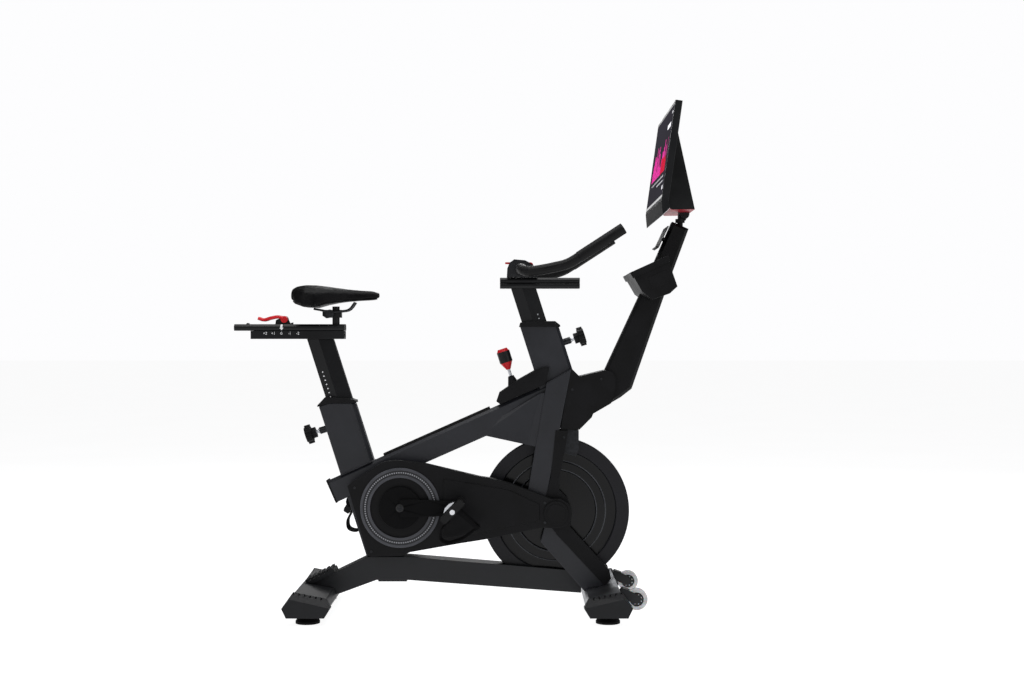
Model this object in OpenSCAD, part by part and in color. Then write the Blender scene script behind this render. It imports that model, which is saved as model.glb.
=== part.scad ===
/* [Stance] */
// Width over the end caps of both stabilisers
stand_width = 540; // [480:5:640]
// Distance between the front and the rear levelling feet
foot_base = 923; // [860:1:1000]
// Height of the underside of the stabilisers above the floor
ground_gap = 25; // [22:1:40]
// Radius of a levelling foot's rubber pad
foot_r = 37.5; // [25:0.5:40]

/* [Frame] */
// Lean of the seat tube, the head tube and the brake stem from vertical, in degrees
lean = 17.75; // [16:0.25:19]
// Half width of the seat tube
seat_tube_w = 30; // [28:0.5:31]
// Fore and aft depth of the seat tube
seat_tube_d = 114; // [108:1:120]
// Length of the seat tube from the base beam to its top
seat_tube_len = 510; // [470:1:560]
// Half width of the head tube
head_tube_w = 28; // [27:0.5:30]
// Fore and aft depth of the head tube
head_tube_d = 118; // [112:1:124]
// Height of the top of the head tube
head_top_z = 911.5; // [890:0.5:930]
// Wall of the frame tubes
tube_wall = 4; // [2:0.5:5]
// Half width of the main diagonal beam
beam_w = 31; // [29:0.5:34]
// Depth of the main diagonal beam across its slope
beam_d = 73; // [68:1:76]
// Half width of the base beam
base_w = 36; // [32:1:44]
// Thickness of one fork leg
leg_t = 22; // [18:1:26]

/* [Drive] */
// Length of a crank arm from axle to pedal
crank_len = 170; // [145:0.5:180]
// Height of the crank axle
crank_z = 339; // [330:1:350]
// Radius of the crank axle
crank_axle_r = 12.5; // [10:0.5:14]
// Radius of the driving pulley
drive_pulley_r = 104; // [80:1:110]
// Radius of the flywheel's pulley
small_pulley_r = 26; // [20:1:32]
// Radius of the flywheel
flywheel_r = 237; // [200:1:240]
// Half width of the flywheel's rim
rim_w = 12; // [9:0.5:14]
// Radius of the flywheel's axle
flywheel_axle_r = 10; // [8:0.5:12]
// Distance of the flywheel's axle ahead of the crank axle
axle_gap = 493.5; // [485:0.5:500]
// Width of the belt
belt_w = 12; // [8:1:14]

/* [Seat] */
// Depth of the seat post
seat_post_d = 80; // [70:1:84]
// Half width of the seat post at its ridge
seat_post_w = 22.5; // [18:0.5:24]
// Height of the saddle carriage's underside
carriage_z = 873; // [850:1:890]
// Length of the saddle slider
slider_len = 354; // [320:1:360]
// Length of the saddle
saddle_len = 282; // [260:1:300]
// Half width of the saddle at its rear
saddle_w = 84; // [60:1:95]

/* [Handlebar] */
// Depth of the handlebar post
bar_post_d = 77; // [68:1:82]
// Half width of the handlebar post at its ridge
bar_post_w = 21; // [17:0.5:22]
// Height of the handlebar rail's underside
rail_z = 1035; // [1025:1:1050]
// Half of the distance between the two horns
horn_y = 234; // [190:1:250]
// Radius of the handlebar's bare tube inside a grip
bar_r = 13; // [11:0.5:14]
// Radius of the handlebar's coated tube
coat_r = 16; // [14.5:0.5:17]
// Radius of a grip
grip_r = 17.5; // [17:0.5:19]

/* [Screen] */
// Half width of the screen
screen_w = 256; // [200:1:270]
// Height of the screen's panel along its slope
screen_h = 310; // [270:1:320]
// Thickness of the screen's panel
screen_t = 22; // [16:1:26]
// Lean of the screen from vertical, in degrees
screen_lean = 8; // [4:0.5:12]

/* [Fits] */
// Radial clearance of a shaft or pin that turns or slides in a bore
run_fit = 0.08; // [0.02:0.01:0.1]
// Gap between moving pieces that are not a fit
gap = 0.6; // [0.4:0.1:1]
// Wall of the plastic covers
cover_t = 3; // [2:0.5:4]

/* [Hidden] */
$fn = 48;

// Colours of the paint and the mouldings
charcoal = [0.2, 0.2, 0.22];
black = [0.07, 0.07, 0.075];
satin = [0.72, 0.73, 0.75];
red = [0.85, 0.1, 0.12];

// Places of the driving axes
rear_foot_x = -470;
front_foot_x = rear_foot_x + foot_base;
foot_y = stand_width / 2 - 65;
crank_x = -196;
axle_x = crank_x + axle_gap;
axle_z = 322;
seat_base_x = -247;
base_top_z = 177;
head_top_x = 246.4;
brake_x = 156.4;
brake_z = 747;
caliper_x = 270;
caliper_z = 612;
tilt_x = 711;
tilt_z = 1275;
wheel_x = front_foot_x + 91;
wheel_z = 67;
wheel_y = 170;
wheel_r = 33.5;
lever_x = -573.6;

// Layers outward from the middle: fork leg, inner guard, belt, outer guard, crank arm
leg_in = head_tube_w;
leg_out = leg_in + leg_t;
inner_y = leg_out + 4;
belt_y = inner_y + cover_t + 2.5;
guard_y = belt_y + belt_w + 3 + 2 * cover_t;
arm_y = guard_y + 6;
arm_t = 14;
pedal_y = arm_y + arm_t + 10;
pedal_w = 90;

// Places a child whose own Z runs up the lean and whose X runs forward of it
module on_lean(x, z) {
    translate([x, 0, z]) rotate([0, -lean, 0]) children();
}

// An outline in X and Z, from y0 to y1
module slab(points, y0, y1) {
    translate([0, y1, 0]) rotate([90, 0, 0]) linear_extrude(y1 - y0) polygon(points);
}

// The same outline shrunk by a wall
module inner_slab(points, wall, y0, y1) {
    translate([0, y1, 0]) rotate([90, 0, 0]) linear_extrude(y1 - y0) offset(delta = -wall) polygon(points);
}

// A round bar along Y
module rod(x, z, r, y0, y1) {
    translate([x, y0, z]) rotate([-90, 0, 0]) cylinder(r = r, h = y1 - y0);
}

module both_sides() {
    children();
    mirror([0, 1, 0]) children();
}

// A convex outline whose two outer faces are smaller than its middle
module chamfered_slab(points, w, c) {
    hull() {
        slab(points, c - w, w - c);
        inner_slab(points, c, -w, w);
    }
}

// Path helpers: a rounded path, and a tube swept along it
function bend(a, b, c, r, n) = [for (i = [0 : n])
    let (t = i / n, p = b + r * (a - b) / norm(a - b), q = b + r * (c - b) / norm(c - b))
        (1 - t) * (1 - t) * p + 2 * t * (1 - t) * b + t * t * q];
function smooth(path, r, n) = concat([path[0]],
    [for (i = [1 : len(path) - 2]) each bend(path[i - 1], path[i], path[i + 1], r, n)],
    [path[len(path) - 1]]);
function unit(v) = v / norm(v);
function tangent(path, i) = unit(path[min(i + 1, len(path) - 1)] - path[max(i - 1, 0)]);
function ring(path, i, r, ref, sides) = let (t = tangent(path, i), n = unit(cross(t, ref)), b = cross(n, t))
    [for (k = [0 : sides - 1]) path[i] + r * (cos(360 * k / sides) * n + sin(360 * k / sides) * b)];
module tube_along(path, r, ref, sides) {
    rings = [for (i = [0 : len(path) - 1]) each ring(path, i, r, ref, sides)];
    last = (len(path) - 1) * sides;
    polyhedron(rings, concat([[for (k = [sides - 1 : -1 : 0]) k]],
        [[for (k = [0 : sides - 1]) last + k]],
        [for (i = [0 : len(path) - 2]) for (k = [0 : sides - 1]) each [
            [i * sides + k, i * sides + (k + 1) % sides, (i + 1) * sides + k],
            [i * sides + (k + 1) % sides, (i + 1) * sides + (k + 1) % sides, (i + 1) * sides + k]]]),
        convexity = 6);
}

// ---- Stand ----

bar_outline_x = [-70, -58, 38, 54, 50, -54];
bar_outline_z = [27, 52, 72, 31, 2, 2];
function bar_outline(grow, flip) = [for (i = [0 : 5])
    [(flip ? rear_foot_x : front_foot_x) + (flip ? -1 : 1) * bar_outline_x[i] * (1 + grow / 70),
     ground_gap + bar_outline_z[i] * (1 + grow / 70)]];

module bar_envelope(flip, grow = 0) {
    slab(bar_outline(grow, flip), -foot_y - 26, foot_y + 26);
}

base_top = [[rear_foot_x - 30, 82], [seat_base_x - 57, base_top_z], [seat_base_x + 74, base_top_z],
    [front_foot_x - 74, 131]];
base_low = [[front_foot_x - 74, 62], [seat_base_x + 74, 103], [seat_base_x - 28, 103], [rear_foot_x + 78, 60],
    [rear_foot_x - 30, 48]];

module flywheel_well(grow) {
    rod(axle_x, axle_z, flywheel_r + grow, -rim_w - grow, rim_w + grow);
}

module base_beam() color(charcoal) {
    difference() {
        slab(concat(base_top, base_low), -base_w, base_w);
        inner_slab(concat(base_top, base_low), tube_wall, tube_wall - base_w, base_w - tube_wall);
        flywheel_well(6);
        bar_envelope(true);
        bar_envelope(false);
    }
    translate([seat_base_x - 23, 6 - base_w, 97]) cube([92, 2 * base_w - 12, 6]);
}

module foot_socket(x, y) {
    translate([x, y, 0]) cylinder(r = 6 + run_fit, h = 80);
}

module stabiliser_bars() color(satin) {
    for (flip = [false, true]) {
        x = flip ? rear_foot_x : front_foot_x;
        difference() {
            bar_envelope(flip);
            inner_slab(bar_outline(0, flip), tube_wall, -stand_width, stand_width);
            for (y = [-foot_y, foot_y]) foot_socket(x, y);
        }
    }
}

// An end cap: its ribbed shoulder slopes in from the outer face to the bar
module end_cap(flip) {
    s = flip ? -1 : 1;
    x = flip ? rear_foot_x : front_foot_x;
    y_in = foot_y + 26;
    y_out = stand_width / 2;
    low = [[x - s * 76, ground_gap + 29], [x - s * 58, ground_gap], [x + s * 58, ground_gap],
        [x + s * 72, ground_gap + 29], [x + s * 47, ground_gap + 58]];
    high = [[x - s * 76, ground_gap + 29], [x - s * 58, ground_gap], [x + s * 58, ground_gap],
        [x + s * 72, ground_gap + 31], [x + s * 41, ground_gap + 74], [x - s * 61, ground_gap + 54]];
    difference() {
        hull() {
            slab(low, y_out - 12, y_out);
            slab(high, y_in, y_in + 4);
        }
        for (i = [0 : 5]) rib_groove(x - s * (46 - 17 * i), flip, i);
    }
}

module rib_groove(x, flip, i) {
    translate([x - 2, stand_width / 2 - 36, ground_gap + 51 + 3.3 * i]) cube([4, 30, 40]);
}

module base_caps() color(black) {
    both_sides() end_cap(false);
    both_sides() end_cap(true);
    step_pad();
}

// The ribbed pad on the tail of the base beam
module step_pad() {
    tail_a = base_top[0];
    tail_b = base_top[1];
    slope = atan2(tail_b[1] - tail_a[1], tail_b[0] - tail_a[0]);
    difference() {
        translate([tail_a[0], 0, tail_a[1]]) rotate([0, -slope, 0]) {
            translate([4, -base_w - 10, 0.05]) cube([100, 2 * base_w + 20, 12]);
            for (i = [0 : 5]) translate([8 + 16.5 * i, -base_w - 10, 0.05]) cube([9, 2 * base_w + 20, 20]);
        }
        bar_envelope(true, 2);
    }
}

// A bracket that holds one transport wheel on the front bar
module wheel_bracket(y) {
    fork = [[wheel_x - 62, ground_gap + 57], [wheel_x - 44, ground_gap + 78], [wheel_x - 26, ground_gap + 72],
        [wheel_x + 12, wheel_z + 10], [wheel_x + 12, wheel_z - 9], [wheel_x - 8, wheel_z - 12],
        [wheel_x - 30, ground_gap + 40]];
    difference() {
        slab(fork, y - 20, y + 20);
        rod(wheel_x, wheel_z, wheel_r + 4, y - 13, y + 13);
        bar_envelope(false);
    }
    rod(wheel_x, wheel_z, 5, y - 19.9, y + 19.9);
}

module wheel_brackets() color(charcoal) {
    wheel_bracket(-wheel_y);
    wheel_bracket(wheel_y);
}

module wheel(y) {
    difference() {
        rod(wheel_x, wheel_z, wheel_r, y - 11.5, y + 11.5);
        rod(wheel_x, wheel_z, 5 + run_fit, y - 12, y + 12);
        for (s = [-1, 1]) rod(wheel_x, wheel_z, 21, y + s * 11.5 - 3, y + s * 11.5 + 3);
    }
    difference() {
        rod(wheel_x, wheel_z, 9, y - 11.5, y + 11.5);
        rod(wheel_x, wheel_z, 5 + run_fit, y - 12, y + 12);
    }
}

module wheel_right() color(black) wheel(-wheel_y);
module wheel_left() color(black) wheel(wheel_y);

module levelling_foot(x, y) color(black) {
    translate([x, y, 0]) {
        cylinder(r = foot_r, h = 7);
        translate([0, 0, 7]) cylinder(r1 = foot_r, r2 = foot_r - 11, h = ground_gap - 10);
        cylinder(r = 6, h = ground_gap + 40);
    }
}

module foot_front_right() levelling_foot(front_foot_x, -foot_y);
module foot_front_left() levelling_foot(front_foot_x, foot_y);
module foot_rear_right() levelling_foot(rear_foot_x, -foot_y);
module foot_rear_left() levelling_foot(rear_foot_x, foot_y);

// ---- Frame ----

// The main beam runs from behind the seat tube up to the fork legs
beam_slope = 23.9;
beam_x = -431;
beam_top_z = 418.5;
beam_len = 775;
post_offset = 11;
leg_outline = [[268, 732], [209, 392], [222, 330], [262, 276], [249, 227], [407, 49], [473, 69], [300, 254],
    [340, 290], [340, 350], [272, 387], [347, 777]];

function beam_at(x) = beam_top_z + (x - beam_x) * tan(beam_slope);

module beam_body(w, grow, c) {
    translate([beam_x, 0, beam_top_z]) rotate([0, -beam_slope, 0]) translate([0, 0, -beam_d])
        rotate([90, 0, 90]) linear_extrude(beam_len) polygon([[-w, grow], [w, grow],
            [w, beam_d - c], [w - c, beam_d - grow], [c - w, beam_d - grow], [-w, beam_d - c]]);
}

// The passages of the two posts, as wide as the posts and a working gap
module post_passage(x0, z0, depth, w, offset_x, low, high) {
    on_lean(x0, z0) translate([offset_x - depth / 2 - 1, -w - 1, low])
        cube([depth + 2, 2 * w + 2, high - low]);
}
module seat_passage(low, high) {
    post_passage(seat_base_x, base_top_z, seat_post_d, seat_post_w, post_offset, low, high);
}
module bar_passage(low, high) {
    post_passage(head_top_x, head_top_z, bar_post_d, bar_post_w, -post_offset, low, high);
}
module brake_passage(r) {
    on_lean(brake_x, brake_z) translate([0, 0, -220]) cylinder(r = r, h = 260);
}

module legs_envelope() {
    both_sides() slab(leg_outline, leg_in, leg_out);
}

module head_envelope(grow) {
    on_lean(head_top_x, head_top_z) translate([-head_tube_d / 2 - grow, -head_tube_w - grow, -240])
        cube([head_tube_d + 2 * grow, 2 * (head_tube_w + grow), 250]);
}

// A web that flares from the beam out to a fork leg
module gusset() {
    hull() {
        slab([[60, 566], [78, 567], [75, 573]], beam_w - 8, beam_w - 4);
        slab([[206, 536], [238, 529], [262, 700], [250, 700]], leg_in + 8, leg_out - 2);
        slab([[100, 610], [250, 690], [230, 600]], beam_w - 8, beam_w - 4);
    }
}

module main_beam() color(charcoal) {
    difference() {
        union() {
            beam_body(beam_w, 0, 9);
            both_sides() gusset();
        }
        beam_body(beam_w - tube_wall, tube_wall, 10);
        slab([[209, 392], [268, 732], [310, 980], [600, 980], [600, 392]], -leg_out - 1, leg_out + 1);
        head_envelope(0);
        seat_passage(150, 400);
        brake_passage(9);
    }
}

// Black mouldings: the strip and end cap of the beam, the axle caps and the fork strips
module plastic_trims() color(black) {
    strip_from = -252;
    difference() {
        translate([beam_x, 0, beam_top_z]) rotate([0, -beam_slope, 0])
            translate([(strip_from - beam_x) / cos(beam_slope), 0, 0.05])
                translate([0, -beam_w + 12, 0]) cube([372, 2 * beam_w - 24, 8]);
        seat_envelope(1);
    }
    translate([beam_x, 0, beam_top_z]) rotate([0, -beam_slope, 0])
        translate([-5, -beam_w - 2, -beam_d - 2]) cube([4.95, 2 * beam_w + 4, beam_d + 6]);
    both_sides() leg_strip();
    axle_cap(-1, guard_y);
    axle_cap(1, leg_out + 3);
}

module axle_cap(side, y) {
    scale([1, side, 1]) {
        rod(axle_x, axle_z, 38, y + 0.05, y + 7);
        rod(axle_x, axle_z, 29, y + 6, y + 10);
    }
}

module leg_strip() {
    strip = [[297, 582], [337, 582], [322, 500], [309, 430], [309, 392], [335, 365], [349, 322], [344, 274],
        [468, 137], [473, 111], [463, 96], [452, 90], [322, 228], [292, 262], [262, 300], [262, 360], [281, 430]];
    difference() {
        slab(strip, leg_in, leg_out + 3);
        slab(leg_outline, leg_in - 1, leg_out);
        rod(axle_x, axle_z, 22, 0, leg_out + 9);
        bar_envelope(false, 2);
    }
}

// The seat tube: cut by the beam into an upper and a lower piece
module seat_envelope(grow) {
    on_lean(seat_base_x, base_top_z) translate([-seat_tube_d / 2 - grow, -seat_tube_w - grow, -60])
        cube([seat_tube_d + 2 * grow, 2 * (seat_tube_w + grow), seat_tube_len + 60]);
}

module tube_section(d, w, c) {
    polygon([[-d / 2, -w], [d / 2 - c, -w], [d / 2, c - w], [d / 2, w - c], [d / 2 - c, w], [-d / 2, w]]);
}

module seat_tube() color(charcoal) {
    difference() {
        on_lean(seat_base_x, base_top_z) translate([0, 0, -60]) linear_extrude(seat_tube_len + 72)
            tube_section(seat_tube_d, seat_tube_w, 12);
        on_lean(seat_base_x, base_top_z) translate([0, 0, -50]) linear_extrude(seat_tube_len + 80)
            tube_section(seat_tube_d - 2 * tube_wall, seat_tube_w - tube_wall, 9);
        on_lean(seat_base_x, base_top_z) translate([-20, -60, seat_tube_len + 12])
            rotate([0, 17.6, 0]) cube([200, 120, 60]);
        beam_body(beam_w + 40, 0, 0);
        translate([seat_base_x - 200, -60, 0]) cube([400, 120, base_top_z]);
        pin_hole(seat_base_x, base_top_z, -1, seat_tube_d, seat_pin_s, 7);
        bottom_bracket_envelope();
    }
}

// Spring pins of the two posts: s along the tube, side -1 out of its rear face and 1 out of its front
seat_pin_s = 446.5;
head_pin_s = -70;
module on_pin(x0, z0, side, depth, s) {
    on_lean(x0, z0) translate([side * depth / 2, 0, s]) rotate([0, side * 90, 0]) children();
}
module pin_hole(x0, z0, side, depth, s, r) {
    on_pin(x0, z0, side, depth, s) translate([0, 0, -20]) cylinder(r = r, h = 40);
}

module head_tube() color(charcoal) {
    difference() {
        union() {
            on_lean(head_top_x, head_top_z) translate([0, 0, -235]) linear_extrude(235 + 22)
                tube_section(head_tube_d, head_tube_w, 10);
            both_sides() slab([[256, 600], [256, 624], [266, 700], [266, 712], [300, 712], [284, 600]], 7, 14);
        }
        on_lean(head_top_x, head_top_z) translate([0, 0, -230]) linear_extrude(300)
            tube_section(head_tube_d - 2 * tube_wall, head_tube_w - tube_wall, 7);
        translate([0, -60, head_top_z]) cube([500, 120, 80]);
        both_sides() slab([[180, 600], [500, 600], [500, 690], [180, 690]], 14.5, 60);
        pin_hole(head_top_x, head_top_z, 1, head_tube_d, head_pin_s, 7);
        rod(caliper_x, caliper_z, 5 + run_fit, -20, 20);
    }
}

module fork_legs() color(charcoal) {
    both_sides() difference() {
        leg_shell();
        rod(axle_x, axle_z, 22, 0, 100);
        bar_envelope(false);
        slab([[180, 0], [front_foot_x - 74, 0], [front_foot_x - 74, 131], [180, 149]], 0, base_w);
    }
}

module leg_shell() {
    difference() {
        slab(leg_outline, leg_in, leg_out);
        inner_slab(leg_outline, tube_wall, leg_in + tube_wall, leg_out - tube_wall);
    }
}

// Collars that guide the posts in the tops of the tubes
module tube_collars() color(black) {
    difference() {
        on_lean(seat_base_x, base_top_z) translate([0, 0, seat_tube_len])
            slab([[-62, 12.05], [-60, 17], [-28, 35], [47, 6], [62, -5], [61, -12.2], [57, -12.2],
                [-20, 12.05]],
                -seat_tube_w - 3, seat_tube_w + 3);
        seat_passage(400, 600);
    }
    difference() {
        on_lean(head_top_x, head_top_z)
            rotate([0, lean, 0]) slab([[-66, 0.05], [-62, 14], [-40, 19], [50, 19], [66, 6], [66, 0.05]],
                -head_tube_w - 3, head_tube_w + 3);
        bar_passage(-60, 90);
    }
}

// ---- Drive ----

module bottom_bracket_envelope() {
    rod(crank_x, crank_z, 28, -48, 48);
}

module bottom_bracket() color(charcoal) {
    difference() {
        bottom_bracket_envelope();
        rod(crank_x, crank_z, crank_axle_r + 9, -50, 50);
    }
}

module bearing(x, z, r_in, r_out, y0, y1) {
    difference() {
        rod(x, z, r_out, y0, y1);
        rod(x, z, r_in + run_fit, y0 - 1, y1 + 1);
    }
}

module bearings() color(satin) {
    both_sides() bearing(crank_x, crank_z, crank_axle_r, crank_axle_r + 9, 34, 47);
    both_sides() bearing(axle_x, axle_z, flywheel_axle_r, 22, leg_in + 4, leg_in + 18);
}

module crank_axle() color(satin) {
    rod(crank_x, crank_z, crank_axle_r, -arm_y - arm_t + 2, arm_y + arm_t - 2);
    rod(crank_x + crank_len, crank_z, 8, -pedal_y - pedal_w - 4, -arm_y - 1);
    rod(crank_x - crank_len, crank_z, 8, arm_y + 1, pedal_y + pedal_w + 4);
}

module drive_pulley() color(black) {
    difference() {
        union() {
            rod(crank_x, crank_z, drive_pulley_r, -belt_y - belt_w, -belt_y);
            rod(crank_x, crank_z, 26, -belt_y - belt_w, -belt_y + 3);
        }
        rod(crank_x, crank_z, crank_axle_r, -100, 0);
        for (a = [0 : 60 : 300]) rod(crank_x + 62 * cos(a), crank_z + 62 * sin(a), 20, -100, 0);
    }
}

module belt_loop(extra) {
    hull() {
        rod(crank_x, crank_z, drive_pulley_r + extra, -belt_y - belt_w + 1, -belt_y - 1);
        rod(axle_x, axle_z, small_pulley_r + extra, -belt_y - belt_w + 1, -belt_y - 1);
    }
}

module drive_belt() color(black) {
    $fn = 96;
    difference() {
        belt_loop(3.4);
        belt_inside();
    }
}

module belt_inside() {
    hull() {
        rod(crank_x, crank_z, drive_pulley_r + 0.4, -belt_y - belt_w - 1, -belt_y + 1);
        rod(axle_x, axle_z, small_pulley_r + 0.4, -belt_y - belt_w - 1, -belt_y + 1);
    }
}

module flywheel() color(black) {
    r = flywheel_r;
    half = [[flywheel_axle_r, 23], [32, 23], [34, 6], [128, 5], [132, 8], [158, 8], [161, 5], [r - 44, 6],
        [r - 41, rim_w], [r - 2, rim_w], [r, rim_w - 2]];
    section = concat(half, [for (i = [len(half) - 1 : -1 : 0]) [half[i][0], -half[i][1]]]);
    translate([axle_x, 0, axle_z]) rotate([90, 0, 0]) rotate_extrude($fn = 120) polygon(section);
}

module flywheel_axle() color(satin) {
    rod(axle_x, axle_z, flywheel_axle_r, -belt_y - belt_w, leg_out - 1);
    difference() {
        rod(axle_x, axle_z, small_pulley_r, -belt_y - belt_w, -belt_y);
        rod(axle_x, axle_z, flywheel_axle_r, -100, 0);
    }
}

// ---- Guards ----

guard_outline = [[-363, 408], [-352, 418], [-257, 480], [-235, 487], [-202, 489], [-120, 480], [57, 438],
    [85, 434], [153, 417], [284, 366], [312, 367], [333, 355], [346, 337], [349, 318], [344, 299], [331, 283],
    [312, 274], [290, 274], [253, 276], [80, 240], [57, 236], [-7, 226], [-165, 198], [-186, 187], [-288, 184],
    [-299, 190]];
dish_r = 95;
ring_r = 126.5;

module guard_outer() color(black) {
    y_in = -inner_y - cover_t - 0.05;
    difference() {
        union() {
            slab(guard_outline, -guard_y, y_in);
            intersection() {
                slab([[-60, 240], [120, 274], [245, 298], [245, 350], [150, 395], [40, 415], [-60, 430]],
                    -guard_y - 2.5, -guard_y + 1);
                slab(guard_outline, -guard_y - 3, 0);
            }
        }
        inner_slab(guard_outline, cover_t, -guard_y + cover_t, 0);
        rod(crank_x, crank_z, dish_r, -guard_y - 9, -guard_y + cover_t + 0.1);
    }
    difference() {
        rod(crank_x, crank_z, dish_r + cover_t, -guard_y + 0.01, -guard_y + cover_t + 2);
        rod(crank_x, crank_z, dish_r, -guard_y - 9, -guard_y + cover_t);
        rod(crank_x, crank_z, 20, -100, 0);
    }
}

module guard_inner() color(black) {
    difference() {
        slab(guard_outline, -inner_y - cover_t, -inner_y);
        rod(crank_x, crank_z, 30, -100, 0);
        rod(axle_x, axle_z, 24, -100, 0);
    }
    difference() {
        for (p = [[-300, 395], [-280, 210], [-215, 440]]) rod(p[0], p[1], 9, -inner_y, -seat_tube_w + 2);
        seat_envelope(0);
        beam_body(beam_w, 0, 0);
    }
}

module left_cover() color(black) {
    difference() {
        rod(crank_x, crank_z, ring_r + 6, seat_tube_w + 10, guard_y);
        rod(crank_x, crank_z, ring_r + 6 - cover_t, seat_tube_w + 6, guard_y - cover_t);
        rod(crank_x, crank_z, dish_r, guard_y - cover_t - 1, guard_y + 1);
    }
    difference() {
        rod(crank_x, crank_z, dish_r + cover_t, guard_y - cover_t - 2, guard_y - 0.01);
        rod(crank_x, crank_z, dish_r, guard_y - cover_t, guard_y + 9);
        rod(crank_x, crank_z, 20, 0, 100);
    }
}

module guard_rings() color([0.35, 0.35, 0.37]) {
    both_sides() difference() {
        rod(crank_x, crank_z, ring_r, guard_y + 0.05, guard_y + 4);
        rod(crank_x, crank_z, ring_r - 8, guard_y + 2.5, guard_y + 9);
        rod(crank_x, crank_z, dish_r, 0, guard_y + 9);
    }
    both_sides() difference() {
        rod(crank_x, crank_z, dish_r + 8, guard_y + 2.45, guard_y + 4);
        rod(crank_x, crank_z, dish_r, 0, guard_y + 9);
    }
}

// ---- Cranks and pedals ----

module crank_arm(side) {
    x1 = crank_x - side * crank_len;
    s = -side;
    scale([1, side, 1]) difference() {
        union() {
            rod(crank_x, crank_z, 66.5, arm_y - 2, arm_y + 5);
            slab([[crank_x, crank_z - 27], [crank_x + s * 90, crank_z - 26], [x1, crank_z - 22],
                [x1 + s * 16, crank_z - 16], [x1 + s * 22, crank_z], [x1 + s * 16, crank_z + 16],
                [x1, crank_z + 22], [crank_x + s * 90, crank_z + 26], [crank_x, crank_z + 27]],
                arm_y, arm_y + arm_t);
        }
        rod(crank_x, crank_z, crank_axle_r, 0, 200);
        rod(x1, crank_z, 8, 0, 200);
    }
}

module crank_right() color(black) crank_arm(-1);
module crank_left() color(black) crank_arm(1);

// Places a pedal: its toe points along -X before it is turned to hang
module on_pedal(side) {
    translate([crank_x - side * crank_len, side * (pedal_y + pedal_w / 2), crank_z])
        rotate([0, side < 0 ? -225 : -238, 0]) children();
}

module pedal_body(side) color(black) on_pedal(side) {
    w = pedal_w / 2;
    difference() {
        union() {
            rod(0, 0, 13, -w, w);
            slab([[-45, -9], [-38, -13], [38, -13], [45, -9], [45, 8], [38, 11], [-38, 11], [-45, 8]],
                -w, 10 - w);
            slab([[-45, -9], [-38, -13], [38, -13], [45, -9], [45, 8], [38, 11], [-38, 11], [-45, 8]],
                w - 10, w);
            slab([[30, -12], [44, -8], [44, 8], [30, 10]], -w, w);
            slab([[-30, -12], [-44, -8], [-44, 8], [-30, 10]], -w, w);
            slab([[-22, -18], [-8, -24], [10, -24], [24, -16], [24, -10], [-22, -10]], -22, 22);
        }
        rod(0, 0, 8 + run_fit, -60, 60);
    }
}

module toe_cage(side) color(black) on_pedal(side) {
    w = 32;
    path = [[36, 0, 13.5], [70, 0, 16], [92, 0, 34], [84, 0, 62], [40, 0, 84], [-20, 0, 92]];
    run = smooth(path, 12, 4);
    for (y = [-w, -10, 10, w]) translate([0, y, 0]) tube_along(run, 2.4, [0, 1, 0], 8);
    translate([30, -w - 2, 11.05]) cube([14, 2 * w + 4, 5]);
    translate([-24, -w - 2, 89]) cube([8, 2 * w + 4, 6]);
    for (s = [-1, 1]) translate([0, s * (w + 1.2), 0])
        slab([[-20, 11.05], [-6, 11.05], [-14, 94], [-24, 94]], -1.2, 1.2);
}

module pedal_right() pedal_body(-1);
module pedal_left() pedal_body(1);
module cage_right() toe_cage(-1);
module cage_left() toe_cage(1);

// ---- Covers round the head tube ----

cowl_outline = [[346, 781], [373, 754], [457, 774], [478, 768], [488, 750], [487, 715], [474, 668], [417, 635],
    [412, 623], [373, 584], [313, 584]];
housing_outline = [[108, 674], [117, 701], [149, 723], [176, 742], [229, 772], [262, 784], [277, 784],
    [266, 729], [120, 664.5]];
arm_foot = [[372, 694], [384, 742], [482, 742], [476, 690]];

module cowl_half() {
    difference() {
        slab(cowl_outline, 0.1, leg_out - 2);
        inner_slab(cowl_outline, cover_t, -1, leg_out - 2 - cover_t);
        slab([[300, 570], [420, 570], [420, 660], [300, 660]], -1, leg_in - 1);
        slab(leg_outline, leg_in - 1, leg_out + 1);
        head_envelope(1);
        slab(arm_foot, -1, 26);
        slab([[460, 700], [500, 700], [500, 740], [460, 740]], -1, 26);
    }
}

module front_cowl() color(black) {
    cowl_half();
    mirror([0, 1, 0]) cowl_half();
    difference() {
        slab(housing_outline, -42, 42);
        inner_slab(housing_outline, cover_t, -39, 39);
        slab([[100, 640], [270, 715], [262, 735], [120, 672]], -38, 38);
        head_envelope(1);
        beam_body(beam_w + 1, -1, 0);
        beam_strip_envelope();
        both_sides() slab(leg_outline, leg_in - 1, leg_out + 1);
        brake_passage(7);
    }
    difference() {
        on_lean(brake_x, brake_z) translate([0, 0, -22]) cylinder(r1 = 19, r2 = 9, h = 30);
        inner_slab(housing_outline, cover_t, -39, 39);
        brake_passage(7);
        slab(housing_outline, -60, 60);
    }
}

module beam_strip_envelope() {
    translate([beam_x, 0, beam_top_z]) rotate([0, -beam_slope, 0])
        translate([100, -beam_w + 11, -1]) cube([480, 2 * beam_w - 22, 10]);
}

// ---- Mast, caddy and screen ----

mast_low = [[457, 776], [474, 668], [505, 686], [541, 714], [655, 1040], [580, 1040]];
mast_high = [[580, 1040.1], [655, 1040.1], [724, 1226], [672, 1249]];
mast_w = 34;

module mast() color(black) {
    difference() {
        chamfered_slab(mast_low, mast_w, 9);
        slab(cowl_outline, -80, 80);
    }
    difference() {
        slab(arm_foot, -25, 25);
        chamfered_slab(mast_low, mast_w, 9);
        head_envelope(0);
    }
    difference() {
        chamfered_slab(mast_high, mast_w - 4, 9);
        translate([tilt_x - 12, 0, tilt_z - 80]) cylinder(r = 9 + run_fit, h = 90);
    }
}

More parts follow.
